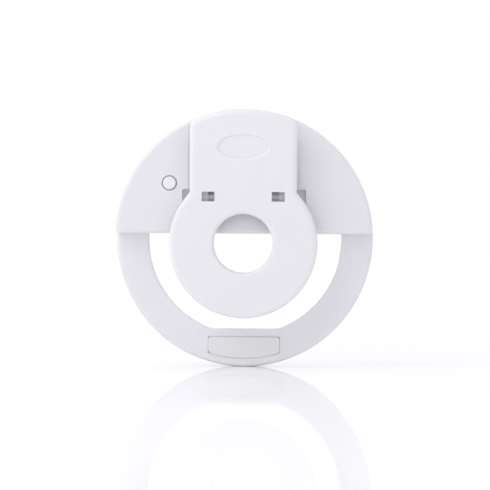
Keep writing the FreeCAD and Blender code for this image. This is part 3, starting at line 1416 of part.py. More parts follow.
def least_gap(samples, skip_length, thickness):
    """Least distance between stretches of a tube that aren't neighbours along it."""
    lengths = [0.0]
    for a, b in zip(samples, samples[1:]):
        lengths.append(lengths[-1] + (b - a).Length)
    best = float("inf")
    for i, a in enumerate(samples):
        for j in range(i + 1, len(samples)):
            if lengths[j] - lengths[i] > skip_length:
                best = min(best, (samples[j] - a).Length)
    return best - thickness


build_rear_shell()
build_front_shell()
build_casing_screws()
build_light_diffuser()
build_led_board()
build_led_chips()
build_led_resistors()
build_main_board()
build_board_screws()
build_switch()
build_button_cap()
build_usb_socket()
build_board_parts()
build_battery()
build_battery_leads()
build_led_leads()
build_hinge_pin()
build_clip_lever()
build_clip_pad()
build_clip_spring()
build_ring_pad()

nodes = [
    "rear_shell", "front_shell", "casing_screws", "light_diffuser", "led_board", "led_chips",
    "led_resistors", "led_leads", "main_board", "board_screws", "controller_chip", "charge_lamp",
    "board_passives", "usb_socket_shell", "usb_contact_tongue", "switch_housing", "switch_plunger",
    "button_cap", "battery_cell", "battery_tape", "battery_guard_board", "battery_leads",
    "hinge_pin", "clip_lever", "clip_pad", "clip_spring", "ring_pad",
]

doc.recompute()
for item in doc.Objects:
    if "Invalid" in item.State or "Error" in item.State:
        raise RuntimeError(f"{item.Label} is in state {item.State}")
for label in nodes:
    shape = doc.getObjectsByLabel(label)[0].Shape
    if shape.isNull() or not shape.isValid():
        raise RuntimeError(f"{label} has no valid shape")
    print(f"{label:20} {len(shape.Solids):3} solids {shape.Volume:9.1f} mm3")
    shape.exportStep(f"parts/{label}.step")
print("nodes written:", len(nodes))
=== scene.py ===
import bpy
import bmesh
import json
import math
from mathutils import Matrix, Vector
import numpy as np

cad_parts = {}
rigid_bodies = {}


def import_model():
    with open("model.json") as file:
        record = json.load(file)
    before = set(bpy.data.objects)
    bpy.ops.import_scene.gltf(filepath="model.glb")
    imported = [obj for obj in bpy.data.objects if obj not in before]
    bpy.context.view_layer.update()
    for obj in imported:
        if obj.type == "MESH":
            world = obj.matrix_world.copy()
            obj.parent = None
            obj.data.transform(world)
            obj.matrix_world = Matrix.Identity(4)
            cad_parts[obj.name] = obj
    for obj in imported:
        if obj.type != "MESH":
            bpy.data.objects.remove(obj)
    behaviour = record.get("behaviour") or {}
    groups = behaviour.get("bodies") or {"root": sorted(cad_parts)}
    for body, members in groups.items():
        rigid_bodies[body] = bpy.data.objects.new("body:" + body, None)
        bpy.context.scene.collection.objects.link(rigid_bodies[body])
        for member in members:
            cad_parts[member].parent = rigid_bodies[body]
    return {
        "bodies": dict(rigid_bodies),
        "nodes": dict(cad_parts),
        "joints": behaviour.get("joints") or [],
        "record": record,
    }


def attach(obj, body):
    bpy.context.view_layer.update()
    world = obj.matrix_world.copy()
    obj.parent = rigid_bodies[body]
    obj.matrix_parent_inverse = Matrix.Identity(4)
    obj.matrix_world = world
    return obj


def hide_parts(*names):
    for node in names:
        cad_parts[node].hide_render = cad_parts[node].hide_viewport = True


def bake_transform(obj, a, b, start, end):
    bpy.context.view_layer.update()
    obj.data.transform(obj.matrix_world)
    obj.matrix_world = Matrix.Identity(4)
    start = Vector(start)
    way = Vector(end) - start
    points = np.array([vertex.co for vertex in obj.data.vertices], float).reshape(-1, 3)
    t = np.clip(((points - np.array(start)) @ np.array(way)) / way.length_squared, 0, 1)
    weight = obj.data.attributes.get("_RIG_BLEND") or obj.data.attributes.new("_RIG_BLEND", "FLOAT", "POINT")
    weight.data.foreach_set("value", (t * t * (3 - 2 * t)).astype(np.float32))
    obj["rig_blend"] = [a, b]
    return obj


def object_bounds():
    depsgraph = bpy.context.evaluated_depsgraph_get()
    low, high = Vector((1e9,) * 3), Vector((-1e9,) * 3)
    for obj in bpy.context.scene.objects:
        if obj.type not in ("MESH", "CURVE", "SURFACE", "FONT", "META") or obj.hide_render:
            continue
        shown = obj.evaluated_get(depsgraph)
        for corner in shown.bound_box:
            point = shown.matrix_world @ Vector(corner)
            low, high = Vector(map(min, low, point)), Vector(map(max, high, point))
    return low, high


# Clip-on selfie ring light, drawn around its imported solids.
# Sizes in the dictionaries are millimetres.
# X is right as seen from behind, Y is the way the light shines, and Z is up.

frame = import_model()
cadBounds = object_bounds()
nodes = frame["nodes"]
scene = bpy.context.scene
mm = 0.001

print("stage: camera and studio")

cameraLook = {
    "turn": 2.2,  # degrees round to the right, so that the clip sits a little left of the ring
    "distance": 1000.0,
    "aim": (0.15, 0, -2.25),
    "lens": 221.8,  # gives a field 162 mm wide at the ring
    "sensor": 36.0,
    "nearest": 10,  # what lies closer to the camera than this isn't drawn
    "roll": 0.4,  # the object leans a hair clockwise in the photograph
}


def makeCamera(look):
    turn = math.radians(look["turn"])
    aim = Vector(look["aim"]) * mm
    data = bpy.data.cameras.new("studioCamera")
    data.lens = look["lens"]
    data.sensor_width = look["sensor"]
    data.clip_start = look["nearest"] * mm
    camera = bpy.data.objects.new("studioCamera", data)
    scene.collection.objects.link(camera)
    camera.location = aim + Vector((math.sin(turn), -math.cos(turn), 0)) * look["distance"] * mm
    facing = (aim - camera.location).to_track_quat("-Z", "Y").to_matrix().to_4x4()
    roll = Matrix.Rotation(math.radians(look["roll"]), 4, "Z")
    camera.matrix_world = Matrix.Translation(camera.location) @ facing @ roll
    scene.camera = camera


def linear(hexColour):
    channels = [int(hexColour[i:i + 2], 16) / 255 for i in (1, 3, 5)]
    return [c / 12.92 if c <= 0.04045 else ((c + 0.055) / 1.055) ** 2.4 for c in channels] + [1.0]


def addNode(tree, kind, inputs=None, **settings):
    # Inputs are values or the sockets that feed them.
    node = tree.nodes.new(kind)
    for name, value in settings.items():
        setattr(node, name, value)
    for key, value in (inputs or {}).items():
        if isinstance(value, bpy.types.NodeSocket):
            tree.links.new(value, node.inputs[key])
        else:
            node.inputs[key].default_value = value
    return node


def calculate(tree, operation, first, second):
    return addNode(tree, "ShaderNodeMath", {0: first, 1: second}, operation=operation).outputs[0]


def mapped(tree, value, span, reach):
    # A value that runs over the span comes out running over the reach.
    return addNode(tree, "ShaderNodeMapRange", {
        "Value": value, "From Min": span[0], "From Max": span[1], "To Min": reach[0], "To Max": reach[1],
    }).outputs["Result"]


def emptyMaterial(name):
    material = bpy.data.materials.new(name)
    material.use_nodes = True
    material.node_tree.nodes.clear()
    return material


def surface(material, shader):
    addNode(material.node_tree, "ShaderNodeOutputMaterial", {"Surface": shader})
    return material


makeCamera(cameraLook)

studioLook = {
    "background": "#FFFFFF",
    "fill": "#FAF9FD",
    "fillStrength": (0.46, 1.2),  # from the camera's side, and from the bright backdrop behind the ring
    "fillSpan": (-0.4, 0.4),  # the first gives way to the second between these values of a direction's Y
    "frontFill": 0.86,  # more of it straight from the camera's side, which reaches into the gaps
    "frontSpan": (-1.0, -0.6),
    "floorReach": 8000,
    "floorColour": "#F4F4F6",
    "floorGloss": 0.48,  # share of the floor's light that is a reflection
    "floorRoughness": 0.04,
    "floorLift": (0.12, 0.72),  # brings the lit floor up to the white background, by the object and far away
    "liftReach": (150, 1500),
    "lamps": [
        # name, place, size, watts
        ("keyLamp", (-330, -290, 430), 480, 1.0),
    ],
}


def seenByCamera(tree):
    # 1 for what the camera sees, also in a glossy face or through the cover, and 0 for what only lights.
    path = addNode(tree, "ShaderNodeLightPath")
    seen = path.outputs["Is Camera Ray"]
    for ray in ("Is Glossy Ray", "Is Transmission Ray"):
        seen = calculate(tree, "MAXIMUM", seen, path.outputs[ray])
    return seen


def makeWorld(look):
    # The world is plain white to the camera, and lights the object with a softer fill.
    world = bpy.data.worlds.new("studioWorld")
    scene.world = world
    world.use_nodes = True
    tree = world.node_tree
    tree.nodes.clear()
    direction = addNode(tree, "ShaderNodeTexCoord").outputs["Generated"]
    depth = addNode(tree, "ShaderNodeSeparateXYZ", {0: direction}).outputs["Y"]
    level = mapped(tree, depth, look["fillSpan"], look["fillStrength"])
    front = mapped(tree, depth, look["frontSpan"], (look["frontFill"], 0.0))
    strength = calculate(tree, "ADD", level, front)
    fill = addNode(tree, "ShaderNodeBackground", {"Color": linear(look["fill"]), "Strength": strength})
    white = addNode(tree, "ShaderNodeBackground", {"Color": linear(look["background"]), "Strength": 1.0})
    mixed = addNode(tree, "ShaderNodeMixShader", {
        "Fac": seenByCamera(tree), 1: fill.outputs[0], 2: white.outputs[0],
    })
    addNode(tree, "ShaderNodeOutputWorld", {"Surface": mixed.outputs[0]})


def makeLamps(look):
    for name, place, size, watts in look["lamps"]:
        data = bpy.data.lights.new(name, "AREA")
        data.shape = "DISK"
        data.size = size * mm
        data.energy = watts
        lamp = bpy.data.objects.new(name, data)
        scene.collection.objects.link(lamp)
        lamp.location = Vector(place) * mm
        lamp.rotation_euler = (-lamp.location).to_track_quat("-Z", "Y").to_euler()


def makeFloor(look):
    # A lacquered board that mirrors the light's foot and fades into the white background.
    level = cadBounds[0][2]
    reach = look["floorReach"] * mm
    mesh = bpy.data.meshes.new("studioFloor")
    corners = [(-reach, -reach, level), (reach, -reach, level), (reach, reach, level), (-reach, reach, level)]
    mesh.from_pydata(corners, [], [(0, 1, 2, 3)])
    floor = bpy.data.objects.new("studioFloor", mesh)
    scene.collection.objects.link(floor)
    material = emptyMaterial("lacqueredWhiteBoard")
    tree = material.node_tree
    place = addNode(tree, "ShaderNodeTexCoord").outputs["Object"]
    away = addNode(tree, "ShaderNodeVectorMath", {0: place}, operation="LENGTH").outputs["Value"]
    more = mapped(tree, away, [edge * mm for edge in look["liftReach"]], look["floorLift"])
    lift = calculate(tree, "MULTIPLY", seenByCamera(tree), more)
    white = linear(look["background"])
    matt = addNode(tree, "ShaderNodeBsdfDiffuse", {"Color": linear(look["floorColour"])})
    glow = addNode(tree, "ShaderNodeEmission", {"Color": white, "Strength": lift})
    lit = addNode(tree, "ShaderNodeAddShader", {0: matt.outputs[0], 1: glow.outputs[0]})
    gloss = addNode(tree, "ShaderNodeBsdfGlossy", {"Color": white, "Roughness": look["floorRoughness"]})
    both = addNode(tree, "ShaderNodeMixShader", {
        "Fac": look["floorGloss"], 1: lit.outputs[0], 2: gloss.outputs[0],
    })
    mesh.materials.append(surface(material, both.outputs[0]))


makeWorld(studioLook)
makeLamps(studioLook)
makeFloor(studioLook)
scene.view_settings.view_transform = "Standard"

print("stage: materials")

noiseDetail = {"tint": 2.0, "sheen": 2.0, "grain": 3.0, "lines": 4.0}  # how finely each pattern breaks up


def noise(tree, place, size, use):
    # The pattern's spots are about as many millimetres across as the size says.
    values = {"Vector": place, "Scale": 1 / (size * mm), "Detail": noiseDetail[use]}
    return addNode(tree, "ShaderNodeTexNoise", values).outputs["Fac"]


def tint(tree, amount, look):
    return addNode(tree, "ShaderNodeMix", {
        "Factor": amount, "A": linear(look["colour"]), "B": linear(look["shade"]),
    }, data_type="RGBA").outputs["Result"]


def sheen(tree, amount, look):
    return mapped(tree, amount, (0.0, 1.0), look["roughness"])


def mouldedPlastic(name, look):
    # Plastics, rubbers and lacquers: a faint tint that drifts, an uneven satin and a fine tool texture.
    material = emptyMaterial(name)
    tree = material.node_tree
    place = addNode(tree, "ShaderNodeTexCoord").outputs["Object"]
    relief = addNode(tree, "ShaderNodeBump", {
        "Height": noise(tree, place, look["grainSize"], "grain"),
        "Strength": look["grainStrength"],
        "Distance": look["grainDepth"] * mm,
    })
    shader = addNode(tree, "ShaderNodeBsdfPrincipled", {
        "Base Color": tint(tree, noise(tree, place, look["driftSize"], "tint"), look),
        "Roughness": sheen(tree, noise(tree, place, look["satinSize"], "sheen"), look),
        "IOR": look["ior"],
        "Normal": relief.outputs["Normal"],
        **look.get("sockets", {}),
    })
    return surface(material, shader.outputs[0])


def brightMetal(name, look):
    # Bare metals: fine lines drawn out along X where the scale's X is small, and else an even mottle.
    material = emptyMaterial(name)
    tree = material.node_tree
    place = addNode(tree, "ShaderNodeTexCoord").outputs["Object"]
    drawn = addNode(tree, "ShaderNodeMapping", {"Vector": place, "Scale": look["lineScale"]})
    lines = noise(tree, drawn.outputs["Vector"], look["lineSize"], "lines")
    shader = addNode(tree, "ShaderNodeBsdfPrincipled", {
        "Base Color": tint(tree, lines, look),
        "Metallic": 1.0,
        "Roughness": sheen(tree, lines, look),
    })
    return surface(material, shader.outputs[0])


# ABS lets light in a little way before it comes back out, which softens its shadows.
absGlow = {"Subsurface Weight": 0.3, "Subsurface Scale": 1.2 * mm, "Subsurface Radius": (1.0, 1.0, 1.0)}
# ABS from a lightly blasted tool: a cool white with an even satin, so its highlights are soft and broad.
casingAbs = mouldedPlastic("satinMouldedAbs", {
    "colour": "#EFEEF2", "shade": "#ECEBF0", "driftSize": 30, "satinSize": 4, "roughness": (0.36, 0.44),
    "grainSize": 0.45, "grainStrength": 0.10, "grainDepth": 0.02, "ior": 1.5,
    "sockets": absGlow,
})
# ABS from a smoother tool: a touch whiter, with a thin bright line along each edge.
clipAbs = mouldedPlastic("glossierMouldedAbs", {
    "colour": "#F4F3F6", "shade": "#F1F0F4", "driftSize": 24, "satinSize": 4, "roughness": (0.28, 0.36),
    "grainSize": 0.45, "grainStrength": 0.07, "grainDepth": 0.02, "ior": 1.5,
    "sockets": absGlow,
})
# ABS from a polished tool: the button's hollow face holds a small clear highlight.
buttonAbs = mouldedPlastic("polishedButtonAbs", {
    "colour": "#F6F5F8", "shade": "#F2F1F5", "driftSize": 6, "satinSize": 2, "roughness": (0.24, 0.32),
    "grainSize": 0.4, "grainStrength": 0.05, "grainDepth": 0.02, "ior": 1.5,
})
# Silicone rubber, moulded matt: pale grey and dull, with a fine tooth.
padSilicone = mouldedPlastic("mattSiliconeRubber", {
    "colour": "#ECECEC", "shade": "#E8E8E9", "driftSize": 8, "satinSize": 2, "roughness": (0.55, 0.68),
    "grainSize": 0.35, "grainStrength": 0.18, "grainDepth": 0.03, "ior": 1.41,
})
# Closed-cell foam rubber, cut from sheet: a warm grey with a skin of small closed bubbles.
foamRubber = mouldedPlastic("closedCellFoamRubber", {
    "colour": "#E2E1DF", "shade": "#D6D5D2", "driftSize": 5, "satinSize": 1.5, "roughness": (0.7, 0.85),
    "grainSize": 0.4, "grainStrength": 0.5, "grainDepth": 0.08, "ior": 1.45,
})
# Polycarbonate with a blasted face: light passes through it, and the lamps behind it blur.
frostedCover = mouldedPlastic("frostedPolycarbonate", {
    "colour": "#FFFFFF", "shade": "#FCFCFD", "driftSize": 20, "satinSize": 2, "roughness": (0.22, 0.3),
    "grainSize": 0.5, "grainStrength": 0.12, "grainDepth": 0.03, "ior": 1.5,
    "sockets": {"Transmission Weight": 0.92},
})
# Steel rod, ground round: fine lines along the pin, and a soft, dulled shine.
pinSteel = brightMetal("groundPinSteel", {
    "colour": "#E6E6EA", "shade": "#D0D0D6", "roughness": (0.42, 0.55),
    "lineSize": 0.3, "lineScale": (0.05, 1, 1),
})
# Spring wire, drawn through a die: a grey shine with faint scuffs.
springSteel = brightMetal("drawnSpringWire", {
    "colour": "#B9B9BD", "shade": "#97979D", "roughness": (0.25, 0.4),
    "lineSize": 0.25, "lineScale": (1, 1, 1),
})
# Nickel-plated sheet, pressed: the smoothest metal here, clean and almost a mirror.
socketSteel = brightMetal("nickelPlatedSheet", {
    "colour": "#DADADB", "shade": "#C4C4C8", "roughness": (0.15, 0.25),
    "lineSize": 0.4, "lineScale": (0.1, 1, 1),
})
# Zinc-plated screw steel: a bluish grey with a mottled shine.
screwSteel = brightMetal("zincPlatedScrewSteel", {
    "colour": "#C2C4C8", "shade": "#A0A2A8", "roughness": (0.25, 0.4),
    "lineSize": 0.3, "lineScale": (1, 1, 1),
})
# Tin-plated terminals, soldered: soft silver with a slightly lumpy sheen.
tinPlate = brightMetal("solderedTinPlate", {
    "colour": "#D3D4D4", "shade": "#B9BABB", "roughness": (0.3, 0.45),
    "lineSize": 0.2, "lineScale": (1, 1, 1),
})
# Aluminium foil laminate: the cell's pouch shines softly and its sheen wanders over shallow creases.
cellFoil = brightMetal("aluminiumFoilLaminate", {
    "colour": "#C8CACC", "shade": "#AEB1B5", "roughness": (0.3, 0.5),
    "lineSize": 1.5, "lineScale": (1, 1, 1),
})
# Black epoxy, moulded round a chip: near black and dull, with a fine spark-eroded tooth.
mouldedEpoxy = mouldedPlastic("blackMouldedEpoxy", {
    "colour": "#1B1B1D", "shade": "#232326", "driftSize": 1, "satinSize": 0.5, "roughness": (0.4, 0.6),
    "grainSize": 0.2, "grainStrength": 0.2, "grainDepth": 0.02, "ior": 1.55,
})
# Glass-filled nylon, moulded black: a little shinier than the epoxy, with faint flow marks.
blackNylon = mouldedPlastic("blackGlassFilledNylon", {
    "colour": "#202022", "shade": "#2B2B2E", "driftSize": 1.5, "satinSize": 0.6, "roughness": (0.3, 0.45),
    "grainSize": 0.25, "grainStrength": 0.15, "grainDepth": 0.02, "ior": 1.53,
})
# Baked resistor paint: a thin dark coat that pools slightly at the middle.
resistorCoat = mouldedPlastic("bakedResistorPaint", {
    "colour": "#2A2A2E", "shade": "#38383C", "driftSize": 0.6, "satinSize": 0.4, "roughness": (0.25, 0.4),
    "grainSize": 0.2, "grainStrength": 0.1, "grainDepth": 0.01, "ior": 1.5,
})
# Green solder mask over copper: a deep green lacquer whose shine ripples over the tracks below.
greenBoard = mouldedPlastic("greenSolderMask", {
    "colour": "#1D6B3C", "shade": "#175A32", "driftSize": 2, "satinSize": 1, "roughness": (0.3, 0.4),
    "grainSize": 0.8, "grainStrength": 0.2, "grainDepth": 0.03, "ior": 1.5,
})
# White solder mask: a bright reflecting lacquer, as lamp boards have.
whiteBoard = mouldedPlastic("whiteSolderMask", {
    "colour": "#F6F6F3", "shade": "#EEEFEC", "driftSize": 3, "satinSize": 1, "roughness": (0.35, 0.45),
    "grainSize": 0.8, "grainStrength": 0.2, "grainDepth": 0.03, "ior": 1.5,
})
# Silicone gel with phosphor in it: an even yellow, glossy as if wet.
phosphorGel = mouldedPlastic("phosphorGel", {
    "colour": "#F2D968", "shade": "#EBCB50", "driftSize": 0.6, "satinSize": 0.5, "roughness": (0.2, 0.3),
    "grainSize": 0.2, "grainStrength": 0.1, "grainDepth": 0.01, "ior": 1.41,
})
# White polyamide, moulded: the lamp's cup, matt and opaque.
lampPackage = mouldedPlastic("whiteMouldedPolyamide", {
    "colour": "#F4F3EF", "shade": "#EDECE8", "driftSize": 1, "satinSize": 0.5, "roughness": (0.35, 0.5),
    "grainSize": 0.2, "grainStrength": 0.1, "grainDepth": 0.01, "ior": 1.53,
})
# Soft PVC insulation, drawn over the wire: a strong red with a waxy sheen.
softPvc = mouldedPlastic("softPvcInsulation", {
    "colour": "#A51B18", "shade": "#931512", "driftSize": 2, "satinSize": 1, "roughness": (0.35, 0.5),
    "grainSize": 0.3, "grainStrength": 0.1, "grainDepth": 0.02, "ior": 1.53,
})
# Tinted epoxy, cast: the charge lamp's red lens, smooth and glassy.
redEpoxy = mouldedPlastic("tintedEpoxyLens", {
    "colour": "#C4221C", "shade": "#B01B16", "driftSize": 1, "satinSize": 0.5, "roughness": (0.1, 0.2),
    "grainSize": 0.3, "grainStrength": 0.05, "grainDepth": 0.01, "ior": 1.55,
})
# Foam tape, cut from the roll: white, dull and open-pored, as soft things look.
foamTape = mouldedPlastic("whiteFoamTape", {
    "colour": "#E6E6E2", "shade": "#DCDCD8", "driftSize": 1, "satinSize": 1, "roughness": (0.8, 0.9),
    "grainSize": 0.3, "grainStrength": 0.4, "grainDepth": 0.05, "ior": 1.45,
})

print("stage: shared mesh tools")

meshTools = {
    "mergeGap": 0.0004,  # corners nearer than this become one
    "shortestEdge": 0.0002,
    "crispAngle": 32,  # degrees; edges that turn by more than this stay crisp
    "softAngle": 50,  # the same for the pads, the tape and the leads
    "flatWeight": 100,  # the large flats decide the shading where a rounding meets them
}


def newPiece(name, mesh, material):
    mesh.materials.clear()
    mesh.materials.append(material)
    piece = bpy.data.objects.new(name, mesh)
    scene.collection.objects.link(piece)
    return piece


def meshFrom(work, name):
    mesh = bpy.data.meshes.new(name)
    work.to_mesh(mesh)
    work.free()
    return mesh


def mergedCopy(nodeName, name, material):
    # The copy's loose triangles are joined, and the node's own mesh stays as it is.
    work = bmesh.new()
    work.from_mesh(nodes[nodeName].data)
    bmesh.ops.remove_doubles(work, verts=work.verts, dist=meshTools["mergeGap"] * mm)
    bmesh.ops.dissolve_degenerate(work, edges=work.edges, dist=meshTools["shortestEdge"] * mm)
    mesh = meshFrom(work, name)
    for extra in [a.name for a in mesh.attributes if a.name in ("custom_normal", "sharp_face", "sharp_edge")]:
        mesh.attributes.remove(mesh.attributes[extra])
    return newPiece(name, mesh, material)


def applyModifiers(piece):
    graph = bpy.context.evaluated_depsgraph_get()
    finished = piece.evaluated_get(graph)
    mesh = bpy.data.meshes.new_from_object(finished, preserve_all_data_layers=True, depsgraph=graph)
    piece.modifiers.clear()
    piece.data = mesh


def smoothOver(piece, degrees=meshTools["crispAngle"]):
    # Rounded edges shade smoothly and the large flats stay flat.
    piece.data.polygons.foreach_set("use_smooth", [True] * len(piece.data.polygons))
    piece.data.set_sharp_from_angle(angle=math.radians(degrees))
    even = piece.modifiers.new("even", "WEIGHTED_NORMAL")
    even.keep_sharp = True
    even.weight = meshTools["flatWeight"]
    applyModifiers(piece)


def turned(name, profile, material, segments):
    # The profile's points are (radius, y). It closes on itself, or starts and ends on the axis.
    work = bmesh.new()
    rings = []
    for radius, y in profile:
        if radius == 0:
            rings.append([work.verts.new((0, y * mm, 0))])
            continue
        turns = [2 * math.pi * i / segments for i in range(segments)]
        spots = [(radius * mm * math.cos(t), y * mm, radius * mm * math.sin(t)) for t in turns]
        rings.append([work.verts.new(spot) for spot in spots])
    closed = profile[0][0] > 0 and profile[-1][0] > 0
    pairs = list(zip(rings, rings[1:] + rings[:1])) if closed else list(zip(rings, rings[1:]))
    for a, b in pairs:
        for i in range(segments):
            j = (i + 1) % segments
            corners = [a[i % len(a)], a[j % len(a)], b[j % len(b)], b[i % len(b)]]
            unique = list(dict.fromkeys(corners))
            if len(unique) > 2:
                work.faces.new(unique)
    bmesh.ops.recalc_face_normals(work, faces=work.faces)
    return newPiece(name, meshFrom(work, name), material)


def seatPiece(piece, body, slot, *replaced):
    if replaced:
        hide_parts(*replaced)
    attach(piece, body)
    return piece


print("stage: casings")

casing = {
    "rim": 42.5, "opening": 32.0, "flat": 30.0, "partingY": 2.5,
    # each casing's edge is eased by this much, so the joint shows as a fine groove
    "seamWidth": 0.16, "seamDepth": 0.18,
    # how a wall is told apart: its distance from the true surface, its top in the opening and its lean
    "near": 0.01, "wallTop": 1.0, "wallLean": 0.1,
}


def easeSeam(piece, look, side):
    # The edge at the parting line is cut back on the rim and in the opening.
    work = bmesh.new()
    work.from_mesh(piece.data)
    rim, opening, flat, seam = (look[k] * mm for k in ("rim", "opening", "flat", "partingY"))
    depth, near = look["seamDepth"] * mm, look["near"] * mm

    def wallOf(place):
        radius = math.hypot(place.x, place.z)
        if abs(radius - rim) < near:
            return "rim"
        if abs(place.z + flat) < near and radius < opening + near:
            return "flat"
        if abs(radius - opening) < near and place.z < look["wallTop"] * mm:
            return "opening"
        return ""

    walls = [f for f in work.faces if all(wallOf(v.co) for v in f.verts)]
    walls = [f for f in walls if abs(f.normal.y) < look["wallLean"]]
    edges = list({e for f in walls for e in f.edges})
    bmesh.ops.bisect_plane(work, geom=walls + edges, dist=near / 10, plane_no=(0, 1, 0),
                           plane_co=(0, seam + side * look["seamWidth"] * mm, 0))
    corner = math.sqrt((opening + depth) ** 2 - (flat + depth) ** 2)
    for vert in work.verts:
        place, wall = vert.co, wallOf(vert.co)
        if abs(place.y - seam) > near or not wall:
            continue
        radius = math.hypot(place.x, place.z)
        if wall == "flat":
            ends = abs(radius - opening) < near
            vert.co = Vector((math.copysign(corner, place.x) if ends else place.x, place.y, place.z - depth))
        else:
            grown = (radius - depth if wall == "rim" else radius + depth) / radius
            vert.co = Vector((place.x * grown, place.y, place.z * grown))
    work.normal_update()
    work.to_mesh(piece.data)
    work.free()


def makeCasings(look):
    for nodeName, name, side in (("rear_shell", "rearCasing", -1), ("front_shell", "frontCasing", 1)):
        piece = mergedCopy(nodeName, name, casingAbs)
        easeSeam(piece, look, side)
        smoothOver(piece)
        seatPiece(piece, "light_body", "casing_plastic", nodeName)


makeCasings(casing)

print("stage: clip")


def makeClip():
    lever = mergedCopy("clip_lever", "clipLever", clipAbs)
    smoothOver(lever)
    seatPiece(lever, "clip", "clip_plastic", "clip_lever")


makeClip()

print("stage: pads")

hinge = {"y": -9.5, "z": 13.2, "lean": 6.0}  # the pin's place, and by how many degrees the clip leans at rest
clipPad = {
    "inner": 11.9, "outer": 22.1, "centreZ": -1.75, "topZ": 0.5, "back": -13.4, "face": -10.4,
    "corner": 1.2, "rounding": 0.8, "crown": 0.12, "steps": 90,
}
ringPad = {
    "halfWidth": 11.82, "topZ": -32.64, "radius": 39.76, "back": 0.8, "face": -0.42,
    "corner": 1.0, "rounding": 0.26, "crown": 0.06, "steps": 40,
}
padForm = {
    "cornerSteps": 6,
    "leastCorner": 0.1,  # share of the corner's radius that is left as the rings close in
    "edgeShares": (0, 0.04, 0.15, 0.32, 0.55, 0.8, 1.0),  # where the rings lie on the rounding
    "crownSteps": 4,
    "crownReach": 0.94,  # the last ring's inset, as a share of half the width
}


def padRing(look, width, length, inset):
    # A rounded oblong drawn in by the inset: one half from end to end, then its mirror image.
    radius = max(look["corner"] - inset, padForm["leastCorner"] * look["corner"])
    side, near, far = width - inset - radius, inset + radius, length - inset - radius
    steps = padForm["cornerSteps"]
    turns = [math.pi / 2 * i / steps for i in range(steps + 1)]
    half = [(width / 2, inset)] + [(side + radius * math.sin(t), near - radius * math.cos(t)) for t in turns]
    half += [(side + radius, near + (far - near) * i / look["steps"]) for i in range(1, look["steps"])]
    half += [(side + radius * math.cos(t), far + radius * math.sin(t)) for t in turns]
    half.append((width / 2, length - inset))
    return half + [(width - p, q) for p, q in reversed(half[1:-1])]


def softPad(name, look, width, length, placeAt, material):
    # Rings of points run inwards from the edge, over the rounding and up the low crown.
    work = bmesh.new()
    most = padForm["crownReach"] * width / 2
    insets = [look["rounding"] * share for share in padForm["edgeShares"]]
    last, steps = insets[-1], padForm["crownSteps"]
    insets += [last + (most - last) * i / steps for i in range(1, steps + 1)]
    rings = []
    for inset in [None] + insets:
        if inset is None:
            level = look["back"]
        else:
            t = max(1 - inset / look["rounding"], 0)
            edge = look["rounding"] * (1 - math.sqrt(1 - t * t))
            level = look["face"] + edge - look["crown"] * (1 - (1 - inset / most) ** 2)
        spots = [placeAt(p, q) for p, q in padRing(look, width, length, inset or 0)]
        rings.append([work.verts.new(Vector((x, level, z)) * mm) for x, z in spots])
    count = len(rings[0])
    for outer, inner in zip(rings, rings[1:]):
        for i in range(count):
            j = (i + 1) % count
            work.faces.new((outer[i], outer[j], inner[j], inner[i]))
    for ring in (rings[0], rings[-1]):
        for i in range(count // 2):
            corners = [ring[i], ring[i + 1], ring[count - i - 1], ring[(count - i) % count]]
            work.faces.new(list(dict.fromkeys(corners)))
    bmesh.ops.recalc_face_normals(work, faces=work.faces)
    return newPiece(name, meshFrom(work, name), material)


def leanWithClip(piece):
    pivot = Vector((0, hinge["y"], hinge["z"])) * mm
    turn = Matrix.Rotation(math.radians(hinge["lean"]), 4, "X")
    piece.data.transform(Matrix.Translation(pivot) @ turn @ Matrix.Translation(-pivot))


def makeClipPad(look):
    rise = look["topZ"] - look["centreZ"]
    width = look["outer"] - look["inner"]

    def halfTurn(radius):
        return math.pi / 2 + math.asin(rise / radius)

    middle = look["inner"] + width / 2
    length = 2 * halfTurn(middle) * middle

    def place(p, q):
        radius = look["inner"] + p
        turn = (q / length * 2 - 1) * halfTurn(radius)
        return radius * math.sin(turn), look["centreZ"] - radius * math.cos(turn)

    pad = softPad("clipGripPad", look, width, length, place, foamRubber)
    leanWithClip(pad)
    smoothOver(pad, meshTools["softAngle"])
    seatPiece(pad, "clip", "foam_pad", "clip_pad")


def makeRingPad(look):
    def height(x):
        return look["topZ"] + math.sqrt(look["radius"] ** 2 - x ** 2)

    width = height(look["halfWidth"])

    def place(p, q):
        x = q - look["halfWidth"]
        return x, look["topZ"] - height(x) * (1 - p / width)

    pad = softPad("ringRestPad", look, width, 2 * look["halfWidth"], place, padSilicone)
    smoothOver(pad, meshTools["softAngle"])
    seatPiece(pad, "light_body", "silicone", "ring_pad")


makeClipPad(clipPad)
makeRingPad(ringPad)

print("stage: button")

buttonCap = {
    "x": -24.6, "z": 18.0, "radius": 2.2, "face": -7.9, "rounding": 0.55, "dish": 0.1, "dishRadius": 1.6,
    "flangeRadius": 3.1, "flangeBack": -5.6, "flangeFront": -4.9, "stemRadius": 1.2, "stemEnd": -3.75,
    "steps": 8, "segments": 72,
}


